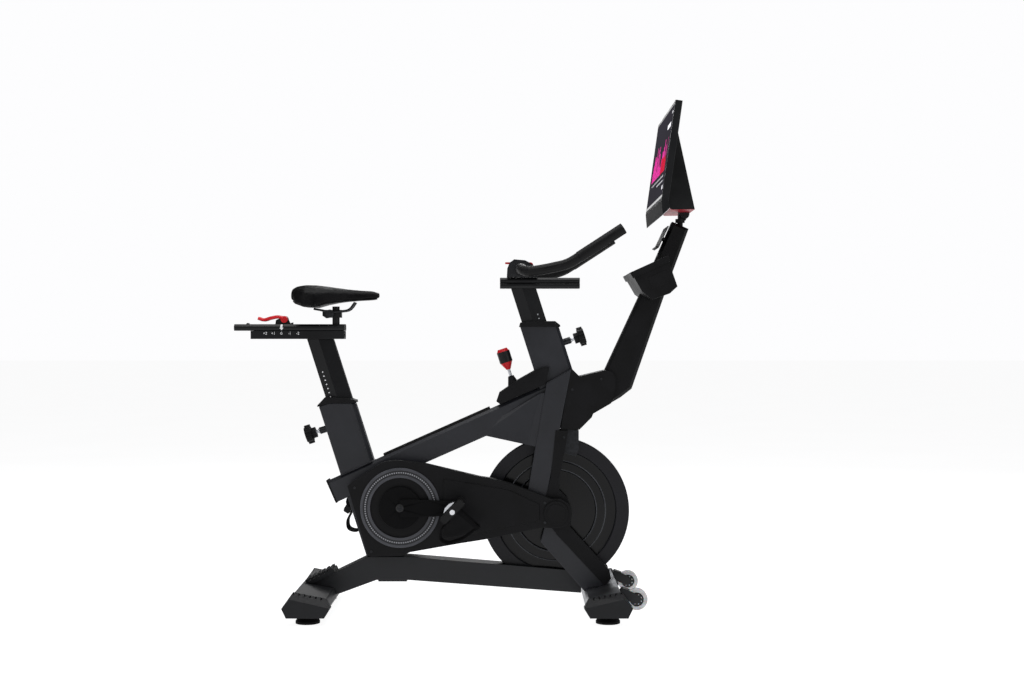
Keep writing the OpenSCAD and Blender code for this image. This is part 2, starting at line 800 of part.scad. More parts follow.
caddy_outline = [[532, 1077], [643, 1130], [661, 1077], [675, 1037], [651, 1015], [598, 996], [565, 1020]];
caddy_w = 140;

module caddy() color(black) {
    well = [[541, 1100], [646, 1150], [655, 1077], [666, 1040], [648, 1021], [599, 1003], [571, 1024],
        [541, 1077]];
    difference() {
        union() {
            slab(caddy_outline, -caddy_w, caddy_w);
            slab([[526, 1080], [536, 1062], [652, 1115], [645, 1134]], -caddy_w - 5, caddy_w + 5);
        }
        both_sides() slab(well, mast_w + 8, caddy_w - 4);
        chamfer_clear(0.05);
    }
}

module chamfer_clear(grow) {
    slab([[456, 776], [474, 668], [505, 686], [541 + grow, 714], [655 + grow, 1040], [724 + grow, 1226],
        [672 - grow, 1249], [580 - grow, 1040]], -mast_w - grow, mast_w + grow);
}

module media_plate() color(black) {
    slope = atan2(656.7 - 624.8, 1230.6 - 1162.9);
    difference() {
        translate([622, 0, 1163]) rotate([0, slope, 0]) {
            translate([-1.5, -70, 0]) cube([3, 140, 76]);
            translate([-7, -70, 0]) cube([7, 140, 3]);
            for (y = [-18, 18]) translate([0, y, 38]) rotate([0, 90, 0]) cylinder(r = 5, h = 22);
        }
        chamfered_slab(mast_high, mast_w - 4, 9);
    }
}

module screen_neck() color(black) {
    translate([tilt_x - 12, 0, tilt_z - 78]) cylinder(r = 9, h = 55);
    difference() {
        union() {
            translate([tilt_x - 12, 0, tilt_z - 28]) cylinder(r = 15, h = 12);
            translate([tilt_x - 18, -13, tilt_z - 20]) cube([24, 26, 20]);
            rod(tilt_x, tilt_z, 17, -13, 13);
        }
        rod(tilt_x, tilt_z, 6 + run_fit, -20, 20);
    }
}

// Places a child in the screen's own frame: Z up its slope, X out of its back
module on_screen() {
    translate([612.4, 0, 1294]) rotate([0, screen_lean, 0]) children();
}

module screen_frame() color(black) on_screen() {
    difference() {
        union() {
            translate([0, -screen_w, 0]) cube([screen_t, 2 * screen_w, screen_h]);
            slab([[0, 0], [screen_t, 0], [screen_t + 8, -18], [10, -44]], -screen_w, screen_w);
        }
        translate([-1, 7 - screen_w, 12]) cube([3, 2 * screen_w - 14, screen_h - 19]);
    }
}

module screen_glass() color([0.15, 0.15, 0.17]) on_screen() {
    translate([0.3, 7.2 - screen_w, 12.2]) cube([1.65, 2 * screen_w - 14.4, screen_h - 19.4]);
}

module screen_back() color(black) {
    back_w = 112;
    difference() {
        on_screen() slab([[screen_t + 0.05, 238], [screen_t + 0.05, 2], [50, -8], [120.9, 3],
            [screen_t + 12, 238]],
            -back_w, back_w);
        on_screen() slab([[screen_t, 230], [screen_t, 6], [50, -3], [112, 7], [screen_t + 9, 230]],
            -back_w + 4, back_w - 4);
        rod(tilt_x, tilt_z, 17 + 4 * gap, -13 - gap, 13 + gap);
    }
    both_sides() slab([[tilt_x - 16, tilt_z], [tilt_x - 14, tilt_z + 36], [tilt_x + 10, tilt_z + 36],
        [tilt_x + 16, tilt_z], [tilt_x + 8, tilt_z - 14], [tilt_x - 8, tilt_z - 14]], 13 + gap, 22);
    rod(tilt_x, tilt_z, 6, -24, 24);
}

// ---- Seat ----

post_top = (carriage_z - base_top_z) / cos(lean);

module post_section(d, w) {
    polygon([[-d / 2, -0.62 * w], [-0.05 * d, -w], [d / 2, -0.62 * w], [d / 2, 0.62 * w], [-0.05 * d, w],
        [-d / 2, 0.62 * w]]);
}

module seat_post() color(black) {
    difference() {
        on_lean(seat_base_x, base_top_z) translate([post_offset, 0, post_top - 345]) linear_extrude(400)
            post_section(seat_post_d, seat_post_w);
        on_lean(seat_base_x, base_top_z) translate([post_offset, 0, post_top - 350]) linear_extrude(380)
            post_section(seat_post_d - 7, seat_post_w - 4);
        translate([-900, -60, carriage_z]) cube([900, 120, 200]);
        for (i = [0 : 6]) on_lean(seat_base_x, base_top_z)
            translate([post_offset - seat_post_d / 2 - 5, 0, seat_pin_s - 81 + 27 * i]) rotate([0, 90, 0])
                cylinder(r = 5.5, h = 14);
    }
    difference() {
        translate([carriage_x, -25, carriage_z + 0.05]) cube([300, 50, 26]);
        translate([carriage_x - 1, -10.4, carriage_z + 13]) cube([302, 20.8, 20]);
        translate([carriage_x - 1, -16.4, carriage_z + 8]) cube([302, 32.8, 8]);
    }
}

carriage_x = -679.6;
slider_x = -732.6;
slider_z = carriage_z + 26.6;
stub_x = -408.6;

module seat_slider() color(black) {
    translate([slider_x, 0, slider_z]) rotate([90, 0, 90]) linear_extrude(slider_len)
        polygon([[-22, 0], [22, 0], [26, 7], [26, 14], [19, 21], [-19, 21], [-26, 14], [-26, 7]]);
    translate([slider_x + 60, -10, slider_z - 14]) cube([slider_len - 65, 20, 14.05]);
    translate([slider_x + 60, -16, slider_z - 18]) cube([slider_len - 65, 32, 6]);
    translate([stub_x, 0, slider_z + 20]) cylinder(r = 11.7, h = 58);
    difference() {
        slab([[lever_x - 30, slider_z + 20], [lever_x + 27, slider_z + 20], [lever_x + 27, slider_z + 27],
            [lever_x + 18, slider_z + 24], [lever_x + 9, lever_z + 6], [lever_x - 8, lever_z + 7],
            [lever_x - 28, lever_z - 2]], -lug_w, lug_w);
        rod(lever_x, lever_z, 4 + run_fit, -20, 20);
    }
    difference() {
        translate([stub_x, 0, slider_z])
            slab([[-42, 67], [18, 67], [18, 42], [-18, 42], [-30, 40], [-42, 48]], -14, 14);
        translate([stub_x, 0, slider_z]) cylinder(r = 11.7, h = 90);
        rod(stub_x - 17, slider_z + 55, 4 + run_fit, -20, 20);
    }
    rod(slider_x + 41, slider_z + 20, 5, -8, 8);
}

lever_z = slider_z + 36.4;
lug_w = 5;

module seat_lever() color(red) {
    rod(lever_x, lever_z, 4, -lug_w - 10, lug_w + 10);
    both_sides() rod(lever_x, lever_z, 11, lug_w + gap, lug_w + 9);
    path = [[lever_x - 3, 0, lever_z + 5], [lever_x - 22, 0, lever_z + 9], [lever_x - 46, 0, lever_z + 4],
        [lever_x - 66, 0, lever_z - 3], [lever_x - 84, 0, lever_z + 4]];
    both_sides() translate([0, lug_w + 5.9, 0]) tube_along(smooth(path, 8, 3), 5.2, [0, 1, 0], 10);
    rod(lever_x - 62, lever_z - 1, 4, -lug_w - 5, lug_w + 5);
}

saddle_x = -549.6;
saddle_z = 1047;
// Stations along the saddle: share of its length, half width, bottom and top below the rear's top
saddle_stations = [[0, 0.5, 50, 14], [0.06, 0.78, 64, 4], [0.16, 0.97, 74, 0], [0.28, 1, 75, 1],
    [0.4, 0.86, 66, 5], [0.52, 0.58, 60, 10], [0.64, 0.36, 56, 14], [0.78, 0.27, 53, 17],
    [0.92, 0.24, 51, 19], [1, 0.16, 47, 26]];

module saddle_rails() color(satin) {
    bolt = [stub_x - 17, slider_z + 55];
    rail = [[saddle_x + 72, 0, saddle_z - 77.5], [saddle_x + 90, 0, bolt[1] + 12], [bolt[0], 0, bolt[1] + 4],
        [bolt[0] + 62, 0, bolt[1] + 10], [saddle_x + 204, 0, saddle_z - 56.5]];
    both_sides() {
        translate([0, 21, 0]) tube_along(smooth(rail, 14, 3), 3.5, [0, 1, 0], 10);
        difference() {
            rod(bolt[0], bolt[1], 13, 14.6, 27);
            rod(bolt[0], bolt[1], 3.9, 0, 40);
        }
    }
    rod(bolt[0], bolt[1], 4, -30, 30);
}

function station_ring(s, lift) = let (x = saddle_x + s[0] * saddle_len, w = s[1] * saddle_w,
    zb = saddle_z - s[2] + lift, zt = saddle_z - s[3])
    [for (a = [0 : 22.5 : 180]) [x, w * cos(a), zb + (zt - zb) * pow(sin(a), 0.55)]];

module loft(rings) {
    n = len(rings[0]);
    pts = [for (r = rings) each r];
    m = len(rings);
    polyhedron(pts, concat([[for (k = [n - 1 : -1 : 0]) k]], [[for (k = [0 : n - 1]) (m - 1) * n + k]],
        [for (i = [0 : m - 2]) for (k = [0 : n - 1]) each [
            [i * n + k, i * n + (k + 1) % n, (i + 1) * n + k],
            [i * n + (k + 1) % n, (i + 1) * n + (k + 1) % n, (i + 1) * n + k]]]), convexity = 6);
}

module saddle_pad() color(black) loft([for (s = saddle_stations) station_ring(s, 6)]);

// The shell stops short of the pad's ends, and follows its bottom between the stations
module saddle_shell() color(black) {
    end = 9 / saddle_len;
    widths = [for (s = saddle_stations) [s[0], s[1]]];
    bottoms = [for (s = saddle_stations) [s[0], s[2]]];
    inner = [for (s = saddle_stations) if (s[0] > end && s[0] < 1 - end) s[0]];
    loft([for (u = concat([end], inner, [1 - end])) let (x = saddle_x + u * saddle_len,
        w = 0.8 * saddle_w * lookup(u, widths), z = saddle_z - lookup(u, bottoms))
        [[x, w, z + 5.9], [x, -w, z + 5.9], [x, -w, z + 2], [x, w, z + 2]]]);
}

// ---- Pins and knobs of the posts ----

module pin_sleeve(x0, z0, side, depth, s) {
    on_pin(x0, z0, side, depth, s) difference() {
        translate([0, 0, 0.05]) cylinder(r = 11, h = 24);
        translate([0, 0, -1]) cylinder(r = 5 + run_fit, h = 30);
    }
}

module pull_pin(x0, z0, side, depth, s) {
    on_pin(x0, z0, side, depth, s) translate([0, 0, -7]) {
        cylinder(r = 5, h = 60);
        translate([0, 0, 7 + 25]) cylinder(r = 8, h = 3);
    }
}

module star_knob(x0, z0, side, depth, s) {
    on_pin(x0, z0, side, depth, s) difference() {
        union() {
            translate([0, 0, 36]) cylinder(r = 17, h = 18);
            translate([0, 0, 50]) cylinder(r = 24, h = 21);
            for (a = [20 : 72 : 308]) rotate([0, 0, a]) translate([22, 0, 51.5]) rotate([0, 0, 40])
                cylinder(r = 10, h = 18);
        }
        translate([0, 0, 30]) cylinder(r = 5 + run_fit, h = 24);
    }
}

module seat_pin() color(satin) pull_pin(seat_base_x, base_top_z, -1, seat_tube_d, seat_pin_s);
module bar_pin() color(satin) pull_pin(head_top_x, head_top_z, 1, head_tube_d, head_pin_s);
module seat_knob() color(black) star_knob(seat_base_x, base_top_z, -1, seat_tube_d, seat_pin_s);
module bar_knob() color(black) star_knob(head_top_x, head_top_z, 1, head_tube_d, head_pin_s);

module screw(x, z, y) {
    rod(x, z, 4, y, y + 1.8);
}

module fasteners() color(satin) {
    pin_sleeve(seat_base_x, base_top_z, -1, seat_tube_d, seat_pin_s);
    pin_sleeve(head_top_x, head_top_z, 1, head_tube_d, head_pin_s);
    mirror([0, 1, 0]) for (p = [[-340, 402], [-287, 200], [262, 292], [262, 354]])
        screw(p[0], p[1], guard_y + 0.05);
    both_sides() {
        for (p = [[442, 745], [350, 712]]) screw(p[0], p[1], leg_out - 1.95);
        screw(324, 560, leg_out + 3.05);
    }
}

// ---- Handlebar ----

bar_top = (rail_z - head_top_z) / cos(lean);
rail_x = 119.4;
housing_x = 141.4;

module bar_post() color(black) {
    difference() {
        on_lean(head_top_x, head_top_z) translate([-post_offset, 0, -190]) linear_extrude(bar_top + 230)
            post_section(bar_post_d, bar_post_w);
        on_lean(head_top_x, head_top_z) translate([-post_offset, 0, -200]) linear_extrude(bar_top + 220)
            post_section(bar_post_d - 7, bar_post_w - 4);
        translate([-100, -60, rail_z]) cube([900, 120, 200]);
        for (i = [0 : 4]) on_lean(head_top_x, head_top_z)
            translate([-post_offset + bar_post_d / 2 - 9, 0, head_pin_s - 81 + 27 * i]) rotate([0, 90, 0])
                cylinder(r = 5.5, h = 14);
    }
    translate([rail_x, 0, rail_z + 0.05]) rotate([90, 0, 90]) linear_extrude(256)
        polygon([[-20, 0], [20, 0], [25, 7], [25, 14], [21, 17.5], [25, 21], [25, 28], [20, 34.5], [-20, 34.5],
            [-25, 28], [-25, 21], [-21, 17.5], [-25, 14], [-25, 7]]);
}

cross_x = 186;
cross_z = 1092;
horn_low = [329.4, horn_y, 1101];
horn_end = [495.4, horn_y, 1209];
horn_dir = unit(horn_end - horn_low);
grip_start = horn_low + 40 * horn_dir;
horn_path = [[cross_x, 60, cross_z], [cross_x, horn_y - 60, cross_z], [200, horn_y - 10, 1078],
    [250, horn_y, 1084], horn_low, grip_start];

// Places a child at the start of a grip, with Z along the horn
module on_horn() {
    translate(grip_start) rotate([0, atan2(horn_dir[0], horn_dir[2]), 0]) children();
}
horn_len = norm(horn_end - grip_start);

module handlebar() color(black) {
    rod(cross_x, cross_z, coat_r, -60.5, 60.5);
    both_sides() {
        tube_along(smooth(horn_path, 24, 4), coat_r, [0, 0, 1], 16);
        on_horn() translate([0, 0, -1]) cylinder(r = bar_r, h = horn_len + 1);
    }
}

module bar_grips() color(black) both_sides() on_horn() difference() {
    translate([0, 0, 0.05]) cylinder(r = grip_r, h = horn_len + 4);
    translate([0, 0, -1]) cylinder(r = bar_r, h = horn_len + 1);
}

housing_profile = [[141.4, 1070.4], [237.4, 1070.4], [240, 1080], [236, 1098], [222, 1112], [200, 1124],
    [165, 1127],
    [150, 1116], [143, 1098]];

module bar_housing() color([0.3, 0.3, 0.32]) {
    difference() {
        slab(housing_profile, -48, 48);
        slab([[130, 1113.4], [250, 1113.4], [250, 1140], [130, 1140]], -13, 13);
        rod(bar_lever_x, bar_lever_z, 12, -13, 13);
        rod(bar_lever_x, bar_lever_z, 4 + run_fit, -30, 30);
        rod(cross_x, cross_z, coat_r, -60, 60);
    }
}

bar_lever_x = 216;
bar_lever_z = 1109;

module bar_lever() color(red) {
    rod(bar_lever_x, bar_lever_z, 4, -28, 28);
    difference() {
        union() {
            rod(bar_lever_x, bar_lever_z, 10.5, -12.4, 12.4);
            slab([[bar_lever_x - 80, 1114.4], [bar_lever_x, 1114.4], [bar_lever_x + 8, 1113],
                [bar_lever_x + 8, 1117], [bar_lever_x, 1119.5], [bar_lever_x - 80, 1119.5]], -12.4, 12.4);
        }
        rod(bar_lever_x, bar_lever_z, 3.9, -20, 20);
    }
}

// ---- Resistance control ----

module brake_stem() color(satin) {
    on_lean(brake_x, brake_z) {
        translate([0, 0, -180]) cylinder(r = 5, h = 230);
        translate([0, 0, -188]) cylinder(r = 8, h = 10);
    }
}

module brake_knob() color(black) on_lean(brake_x, brake_z) difference() {
    union() {
        translate([0, 0, 30]) cylinder(r1 = 7, r2 = 20, h = 24);
        translate([0, 0, 54]) cylinder(r = 21, h = 36);
        translate([0, 0, 90]) cylinder(r1 = 20, r2 = 15, h = 9);
    }
    translate([0, 0, 20]) cylinder(r = 5 + run_fit, h = 32);
}

module magnet_caliper() color(satin) {
    difference() {
        union() {
            rod(caliper_x, caliper_z, 11, -6.5, 6.5);
            slab([[caliper_x, caliper_z - 9], [352, 575], [366, 575], [366, 596], [340, 597],
                [caliper_x, caliper_z + 9]],
                -6.5, 6.5);
            slab([[318, 568], [372, 564], [372, 580], [318, 584]], -22, 22);
            both_sides() slab([[318, 510], [362, 496], [372, 520], [372, 570], [318, 575]], rim_w + 4, 22);
        }
        flywheel_well(4);
    }
    rod(caliper_x, caliper_z, 5, -16, 16);
}

// ---- Draw ----

base_beam();
stabiliser_bars();
base_caps();
main_beam();
plastic_trims();
seat_tube();
head_tube();
fork_legs();
guard_outer();
guard_inner();
left_cover();
guard_rings();
front_cowl();
tube_collars();
bottom_bracket();
bearings();
drive_belt();
mast();
caddy();
media_plate();
fasteners();
wheel_brackets();
flywheel();
flywheel_axle();
crank_axle();
drive_pulley();
crank_right();
crank_left();
pedal_right();
cage_right();
pedal_left();
cage_left();
seat_post();
seat_slider();
seat_lever();
saddle_rails();
saddle_shell();
saddle_pad();
seat_pin();
seat_knob();
bar_post();
handlebar();
bar_grips();
bar_housing();
bar_lever();
bar_pin();
bar_knob();
brake_stem();
brake_knob();
magnet_caliper();
screen_neck();
screen_frame();
screen_glass();
screen_back();
wheel_right();
wheel_left();
foot_front_right();
foot_front_left();
foot_rear_right();
foot_rear_left();
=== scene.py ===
# %% [markdown]
# An indoor exercise bike: a welded steel frame under powder coat, moulded black covers, a heavy
# flywheel, a vinyl saddle and a screen on a raked mast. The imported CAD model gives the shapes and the
# joints, so this lesson adds what CAD leaves out: softened edges, surface finishes, the cushion and
# the small printed and pressed details.

import math

import bmesh
import bpy
from mathutils import Matrix, Vector


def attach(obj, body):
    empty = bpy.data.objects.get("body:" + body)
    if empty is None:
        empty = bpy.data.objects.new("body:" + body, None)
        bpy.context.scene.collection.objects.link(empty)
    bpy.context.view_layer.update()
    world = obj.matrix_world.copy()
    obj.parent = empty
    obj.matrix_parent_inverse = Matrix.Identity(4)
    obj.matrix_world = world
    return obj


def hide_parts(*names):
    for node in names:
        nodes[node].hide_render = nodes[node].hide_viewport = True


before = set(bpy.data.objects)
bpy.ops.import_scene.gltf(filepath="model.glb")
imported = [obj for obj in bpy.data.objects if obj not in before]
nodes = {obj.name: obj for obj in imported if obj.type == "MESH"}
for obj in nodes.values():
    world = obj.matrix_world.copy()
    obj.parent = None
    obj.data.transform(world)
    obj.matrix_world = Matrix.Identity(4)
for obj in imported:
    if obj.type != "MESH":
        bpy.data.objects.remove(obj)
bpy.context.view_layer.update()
scene = bpy.context.scene

# %% [markdown]
# The details sit on the frame by the frame's own figures. They are written once here, in metres:
# the lean that both posts and the brake stem share, and the axes that round things are drawn about.

# %% Places that several details share
LEAN = math.radians(17.75)
CRANK = Vector((-0.196, 0, 0.339))
AXLE = Vector((0.2975, 0, 0.322))
SEAT_BASE = Vector((-0.247, 0, 0.177))
HEAD_TOP = Vector((0.2464, 0, 0.9115))
BRAKE = Vector((0.1564, 0, 0.747))
WHEEL = Vector((0.544, 0, 0.067))
SCREEN = Vector((0.6124, 0, 1.294))
SCREEN_LEAN = math.radians(8)
UP = Vector((-math.sin(LEAN), 0, math.cos(LEAN)))
ACROSS = Vector((math.cos(LEAN), 0, math.sin(LEAN)))
SLIDER_Z = 0.8996
print("lean unit:", [round(v, 4) for v in UP])

# %% [markdown]
# A straight side view of the rider's right side, from about four and a half metres, is what a
# catalogue uses, because it shows the frame's angles without foreshortening them.

# %% Camera
camera = bpy.data.objects.new("camera", bpy.data.cameras.new("camera"))
scene.collection.objects.link(camera)
camera.location = (0.158, -4.58, 0.865)
camera.rotation_euler = (math.radians(90), 0, 0)
camera.data.lens = 50
camera.data.sensor_width = 36
camera.data.clip_end = 200
scene.camera = camera
print("camera at", tuple(round(v, 3) for v in camera.location))

# %% [markdown]
# Every finish is a small tree of nodes. One helper adds a node, sets it up and links it, so that each
# material below reads as a list of what it is made of. Colours are written as on a paint card, in
# sRGB hex, and turned to the linear values that the shader works in.


# %% Helpers for materials
def linear(card):
    """A paint card's sRGB hex colour as linear red, green, blue and alpha."""
    parts = [int(card[i : i + 2], 16) / 255 for i in (1, 3, 5)]
    return [p / 12.92 if p <= 0.04045 else ((p + 0.055) / 1.055) ** 2.4 for p in parts] + [1.0]


def add(tree, kind, inputs=None, **settings):
    """Adds one shader node. An input is a value, or another node's output to link."""
    node = tree.nodes.new("ShaderNode" + kind)
    for name, value in settings.items():
        setattr(node, name, value)
    for socket, value in (inputs or {}).items():
        if isinstance(value, bpy.types.NodeSocket):
            tree.links.new(value, node.inputs[socket])
        else:
            node.inputs[socket].default_value = value
    return node


# %% [markdown]
# Nothing real is one flat colour. A finish drifts slowly between two near shades, its gloss varies
# where hands and cloths have been, and its surface has a grain with a real size. This function makes
# that much for any finish, and the finishes below give it their own sizes and add their own marks.


# %% A finish with drift, varied gloss and grain
def finish(name, dark, light, patch=0.09, grain=0.0012, rough=(0.4, 0.55), relief=0.00008, **sockets):
    """patch and grain are sizes in metres, and relief is the depth of the grain."""
    material = bpy.data.materials.new(name)
    material.use_nodes = True
    tree = material.node_tree
    tree.nodes.clear()
    shader = add(tree, "BsdfPrincipled", {k.replace("_", " "): v for k, v in sockets.items()})
    add(tree, "OutputMaterial", {"Surface": shader.outputs[0]})
    point = add(tree, "TexCoord").outputs["Object"]
    drift = add(tree, "TexNoise", {"Vector": point, "Scale": 1 / patch, "Detail": 4.0})
    fine = add(tree, "TexNoise", {"Vector": point, "Scale": 1 / grain, "Detail": 2.0})
    blend = add(tree, "MapRange", {0: drift.outputs[0], 1: 0.35, 2: 0.65})
    colour = add(tree, "Mix", {0: blend.outputs[0], 6: linear(dark), 7: linear(light)}, data_type="RGBA")
    tree.links.new(colour.outputs[2], shader.inputs["Base Color"])
    gloss = add(tree, "MapRange", {0: drift.outputs[0], 1: 0.3, 2: 0.7, 3: rough[0], 4: rough[1]})
    tree.links.new(gloss.outputs[0], shader.inputs["Roughness"])
    bump = add(tree, "Bump", {"Height": fine.outputs[0], "Distance": relief, "Strength": 1.0})
    tree.links.new(bump.outputs[0], shader.inputs["Normal"])
    return material


def parts_of(material):
    """The tree of a finish, its shader and its point on the object."""
    tree = material.node_tree
    shader = next(n for n in tree.nodes if n.type == "BSDF_PRINCIPLED")
    point = next(n for n in tree.nodes if n.type == "TEX_COORD").outputs["Object"]
    return tree, shader, point


def lay(tree, shader, mask, **looks):
    """Lays new values over what the shader has so far, where the mask is 1."""
    for socket, value in looks.items():
        goal = shader.inputs[socket.replace("_", " ")]
        before = goal.links[0].from_socket if goal.is_linked else goal.default_value
        if socket in ("Base_Color", "Emission_Color"):
            before = before if isinstance(before, bpy.types.NodeSocket) else list(before)
            over = add(tree, "Mix", {0: mask, 6: before, 7: linear(value)}, data_type="RGBA").outputs[2]
        else:
            over = add(tree, "Mix", {0: mask, 2: before, 3: value}, data_type="FLOAT").outputs[0]
        tree.links.new(over, goal)


def between(tree, value, low, high, soft=0.0004):
    """A mask that is 1 where the value lies from low to high, with a soft edge."""
    rise = add(tree, "MapRange", {0: value, 1: low - soft, 2: low + soft}).outputs[0]
    fall = add(tree, "MapRange", {0: value, 1: high - soft, 2: high + soft, 3: 1.0, 4: 0.0}).outputs[0]
    return add(tree, "Math", {0: rise, 1: fall}, operation="MULTIPLY").outputs[0]


def seen_from(tree, point, origin, turn=0.0):
    """The point in a frame that starts at origin and is turned about Y: its x, y and z."""
    place = add(
        tree,
        "Mapping",
        {"Vector": point, "Location": origin, "Rotation": (0, turn, 0)},
        vector_type="TEXTURE",
    )
    return add(tree, "SeparateXYZ", {0: place.outputs[0]}).outputs


def round_axis(tree, point, origin):
    """Distance from an axis along Y through origin, and the angle round it."""
    x, _, z = seen_from(tree, point, origin)
    flat = add(tree, "CombineXYZ", {0: x, 2: z}).outputs[0]
    radius = add(tree, "VectorMath", {0: flat}, operation="LENGTH").outputs["Value"]
    angle = add(tree, "Math", {0: z, 1: x}, operation="ARCTAN2").outputs[0]
    return radius, angle


def ring_of_dots(tree, radius, angle, count, at, size):
    """A mask of round dots evenly spaced on a circle."""
    share = add(tree, "Math", {0: angle, 1: count / (2 * math.pi)}, operation="MULTIPLY").outputs[0]
    turn = add(tree, "Math", {0: share}, operation="FRACT").outputs[0]
    along = add(tree, "Math", {0: turn, 1: -0.5}, operation="ADD").outputs[0]
    along = add(tree, "Math", {0: along, 1: 2 * math.pi * at / count}, operation="MULTIPLY").outputs[0]
    out = add(tree, "Math", {0: radius, 1: -at}, operation="ADD").outputs[0]
    spot = add(tree, "CombineXYZ", {0: along, 1: out}).outputs[0]
    reach = add(tree, "VectorMath", {0: spot}, operation="LENGTH").outputs["Value"]
    return between(tree, reach, -1.0, size, soft=size * 0.2)


print("finish helpers ready")

# %% [markdown]
# The frame is welded steel under a charcoal powder coat. Powder is baked on as a dust, so it dries
# with a faint orange-peel ripple and a satin gloss. The ripple is about 1 mm across on the real tube.

# %% Charcoal powder coat
powder_coat = finish(
    "charcoal_powder_coat", "#1c1d21", "#222328", patch=0.12, grain=0.0016, rough=(0.34, 0.44), relief=0.00006,
    Specular_IOR_Level=0.32,
)
base_coat = finish(
    "black_powder_coat", "#17181a", "#1c1d20", patch=0.12, grain=0.0016, rough=(0.36, 0.48), relief=0.00006,
    Specular_IOR_Level=0.28,
)
print("coats:", powder_coat.name, base_coat.name)

# %% [markdown]
# The covers are injection-moulded ABS from spark-eroded tools, which leaves a fine leather-like
# grain about half a millimetre across. It is drawn a little coarser here so that it reads.

# %% Moulded ABS covers
textured_abs = finish(
    "textured_black_abs", "#0a0a0b", "#0f0f11", patch=0.07, grain=0.0011, rough=(0.42, 0.56), relief=0.00007,
    Specular_IOR_Level=0.14,
)
post_coat = finish(
    "black_anodised_extrusion", "#0b0b0d", "#101113", patch=0.2, grain=0.0009, rough=(0.28, 0.4), relief=0.00004,
    Specular_IOR_Level=0.22,
)
cap_abs = finish(
    "end_cap_abs", "#121315", "#18191c", patch=0.06, grain=0.0012, rough=(0.4, 0.55), relief=0.00007,
    Specular_IOR_Level=0.22,
)
gloss_abs = finish(
    "smoked_gloss_abs", "#151618", "#1c1d20", patch=0.05, grain=0.003, rough=(0.16, 0.24), relief=0.00001,
    Specular_IOR_Level=0.5, Coat_Weight=0.2, Coat_Roughness=0.12,
)
red_nylon = finish(
    "red_glass_filled_nylon", "#b30f18", "#cc1a24", patch=0.02, grain=0.0008, rough=(0.28, 0.4), relief=0.00005,
    Specular_IOR_Level=0.3,
)
print("mouldings:", textured_abs.name, post_coat.name, cap_abs.name, gloss_abs.name, red_nylon.name)

# %% [markdown]
# Turned and plated steel shows fine rings or lines from the tool. Zinc plate has a slightly cold,
# cloudy brightness, and a brushed extrusion carries long scratches along its length. Both stabiliser
# bars share one brushed finish: the front bar's bright metal colour is a painted highlight, and the rear bar is
# painted black.

# %% Bare metals
zinc_steel = finish(
    "zinc_plated_steel", "#a9abb0", "#c3c5c9", patch=0.02, grain=0.0006, rough=(0.2, 0.34), relief=0.00002,
    Metallic=1.0,
)
dark_steel = finish(
    "blackened_steel_screw", "#1c1d1f", "#2a2b2e", patch=0.01, grain=0.0006, rough=(0.3, 0.45), relief=0.00002,
    Metallic=0.7,
)
# Bright metal for the stabiliser bars: on the front bar this bright colour is a painted highlight.
bar_metal_with_painted_highlight = finish(
    "stabiliser_metal_painted_highlight", "#8f9195", "#a3a5a9", patch=0.08, grain=0.001, rough=(0.26, 0.38),
    relief=0.00002, Metallic=1.0,
)
tree, shader, point = parts_of(bar_metal_with_painted_highlight)
lines = add(tree, "Mapping", {"Vector": point, "Scale": (1200, 6, 1200)})
scratch = add(tree, "TexNoise", {"Vector": lines.outputs[0], "Scale": 1.0, "Detail": 2.0})
brush = add(tree, "Bump", {"Height": scratch.outputs[0], "Distance": 0.00004, "Strength": 0.6})
tree.links.new(brush.outputs[0], shader.inputs["Normal"])
# Painted highlight: the front bar keeps the bright metal colour. The mask below paints the rear bar, at x below
# 0, black.
x, _, _ = seen_from(tree, point, (0, 0, 0))
painted = between(tree, x, -1.0, 0.0)
lay(tree, shader, painted, Base_Color="#1a1b1d", Metallic=0.0, Roughness=0.42)
print("metals:", zinc_steel.name, dark_steel.name, bar_metal_with_painted_highlight.name)

# %% [markdown]
# The flywheel is cast iron, turned on a lathe and coated black. Its rim keeps a satin face, the web
# inside it is polished, and two turned steps carry light grey rings that are a painted highlight.

# %% Turned and coated flywheel
flywheel_iron = finish(
    "turned_black_iron", "#141417", "#19191d", patch=0.1, grain=0.0011, rough=(0.34, 0.42), relief=0.00003,
    Specular_IOR_Level=0.2,
)
tree, shader, point = parts_of(flywheel_iron)
radius, angle = round_axis(tree, point, AXLE)
lay(tree, shader, between(tree, radius, -1.0, 0.193), Base_Color="#060607", Roughness=0.16)
# Painted highlight: a thin light grey ring on each turned step, at 161 and 132 mm.
for at in (0.161, 0.132):
    lay(tree, shader, between(tree, radius, at - 0.0018, at + 0.0018), Base_Color="#3d3e42", Roughness=0.18)
grooves = add(tree, "Math", {0: radius, 1: 4200.0}, operation="MULTIPLY").outputs[0]
grooves = add(tree, "Math", {0: grooves}, operation="SINE").outputs[0]
turned = add(tree, "Bump", {"Height": grooves, "Distance": 0.00001, "Strength": 0.5})
tree.links.new(turned.outputs[0], shader.inputs["Normal"])
print("flywheel rings at 161 and 132 mm")

# %% [markdown]
# The crank's axle and the pedals' spindles are ground steel. The axle's ends are blacked, and the
# spindles' ends stay bright, so the distance from the crank's axis tells them apart.

# %% Axle steel
axle_steel = finish(
    "ground_axle_steel", "#c9cbcf", "#dfe0e3", patch=0.02, grain=0.0006, rough=(0.16, 0.28), relief=0.00002,
    Metallic=1.0,
)
tree, shader, point = parts_of(axle_steel)
radius, angle = round_axis(tree, point, CRANK)
lay(tree, shader, between(tree, radius, -1.0, 0.02), Base_Color="#08080a", Metallic=0.0, Roughness=0.5)
print("axle: black at the crank, bright at the pedals")

# %% [markdown]
# The ring round each crank is a satin grey moulding with a circle of small pressed dots between its
# two bands. Each dot is about 3 mm across on a 7 mm spacing, so 96 go round.

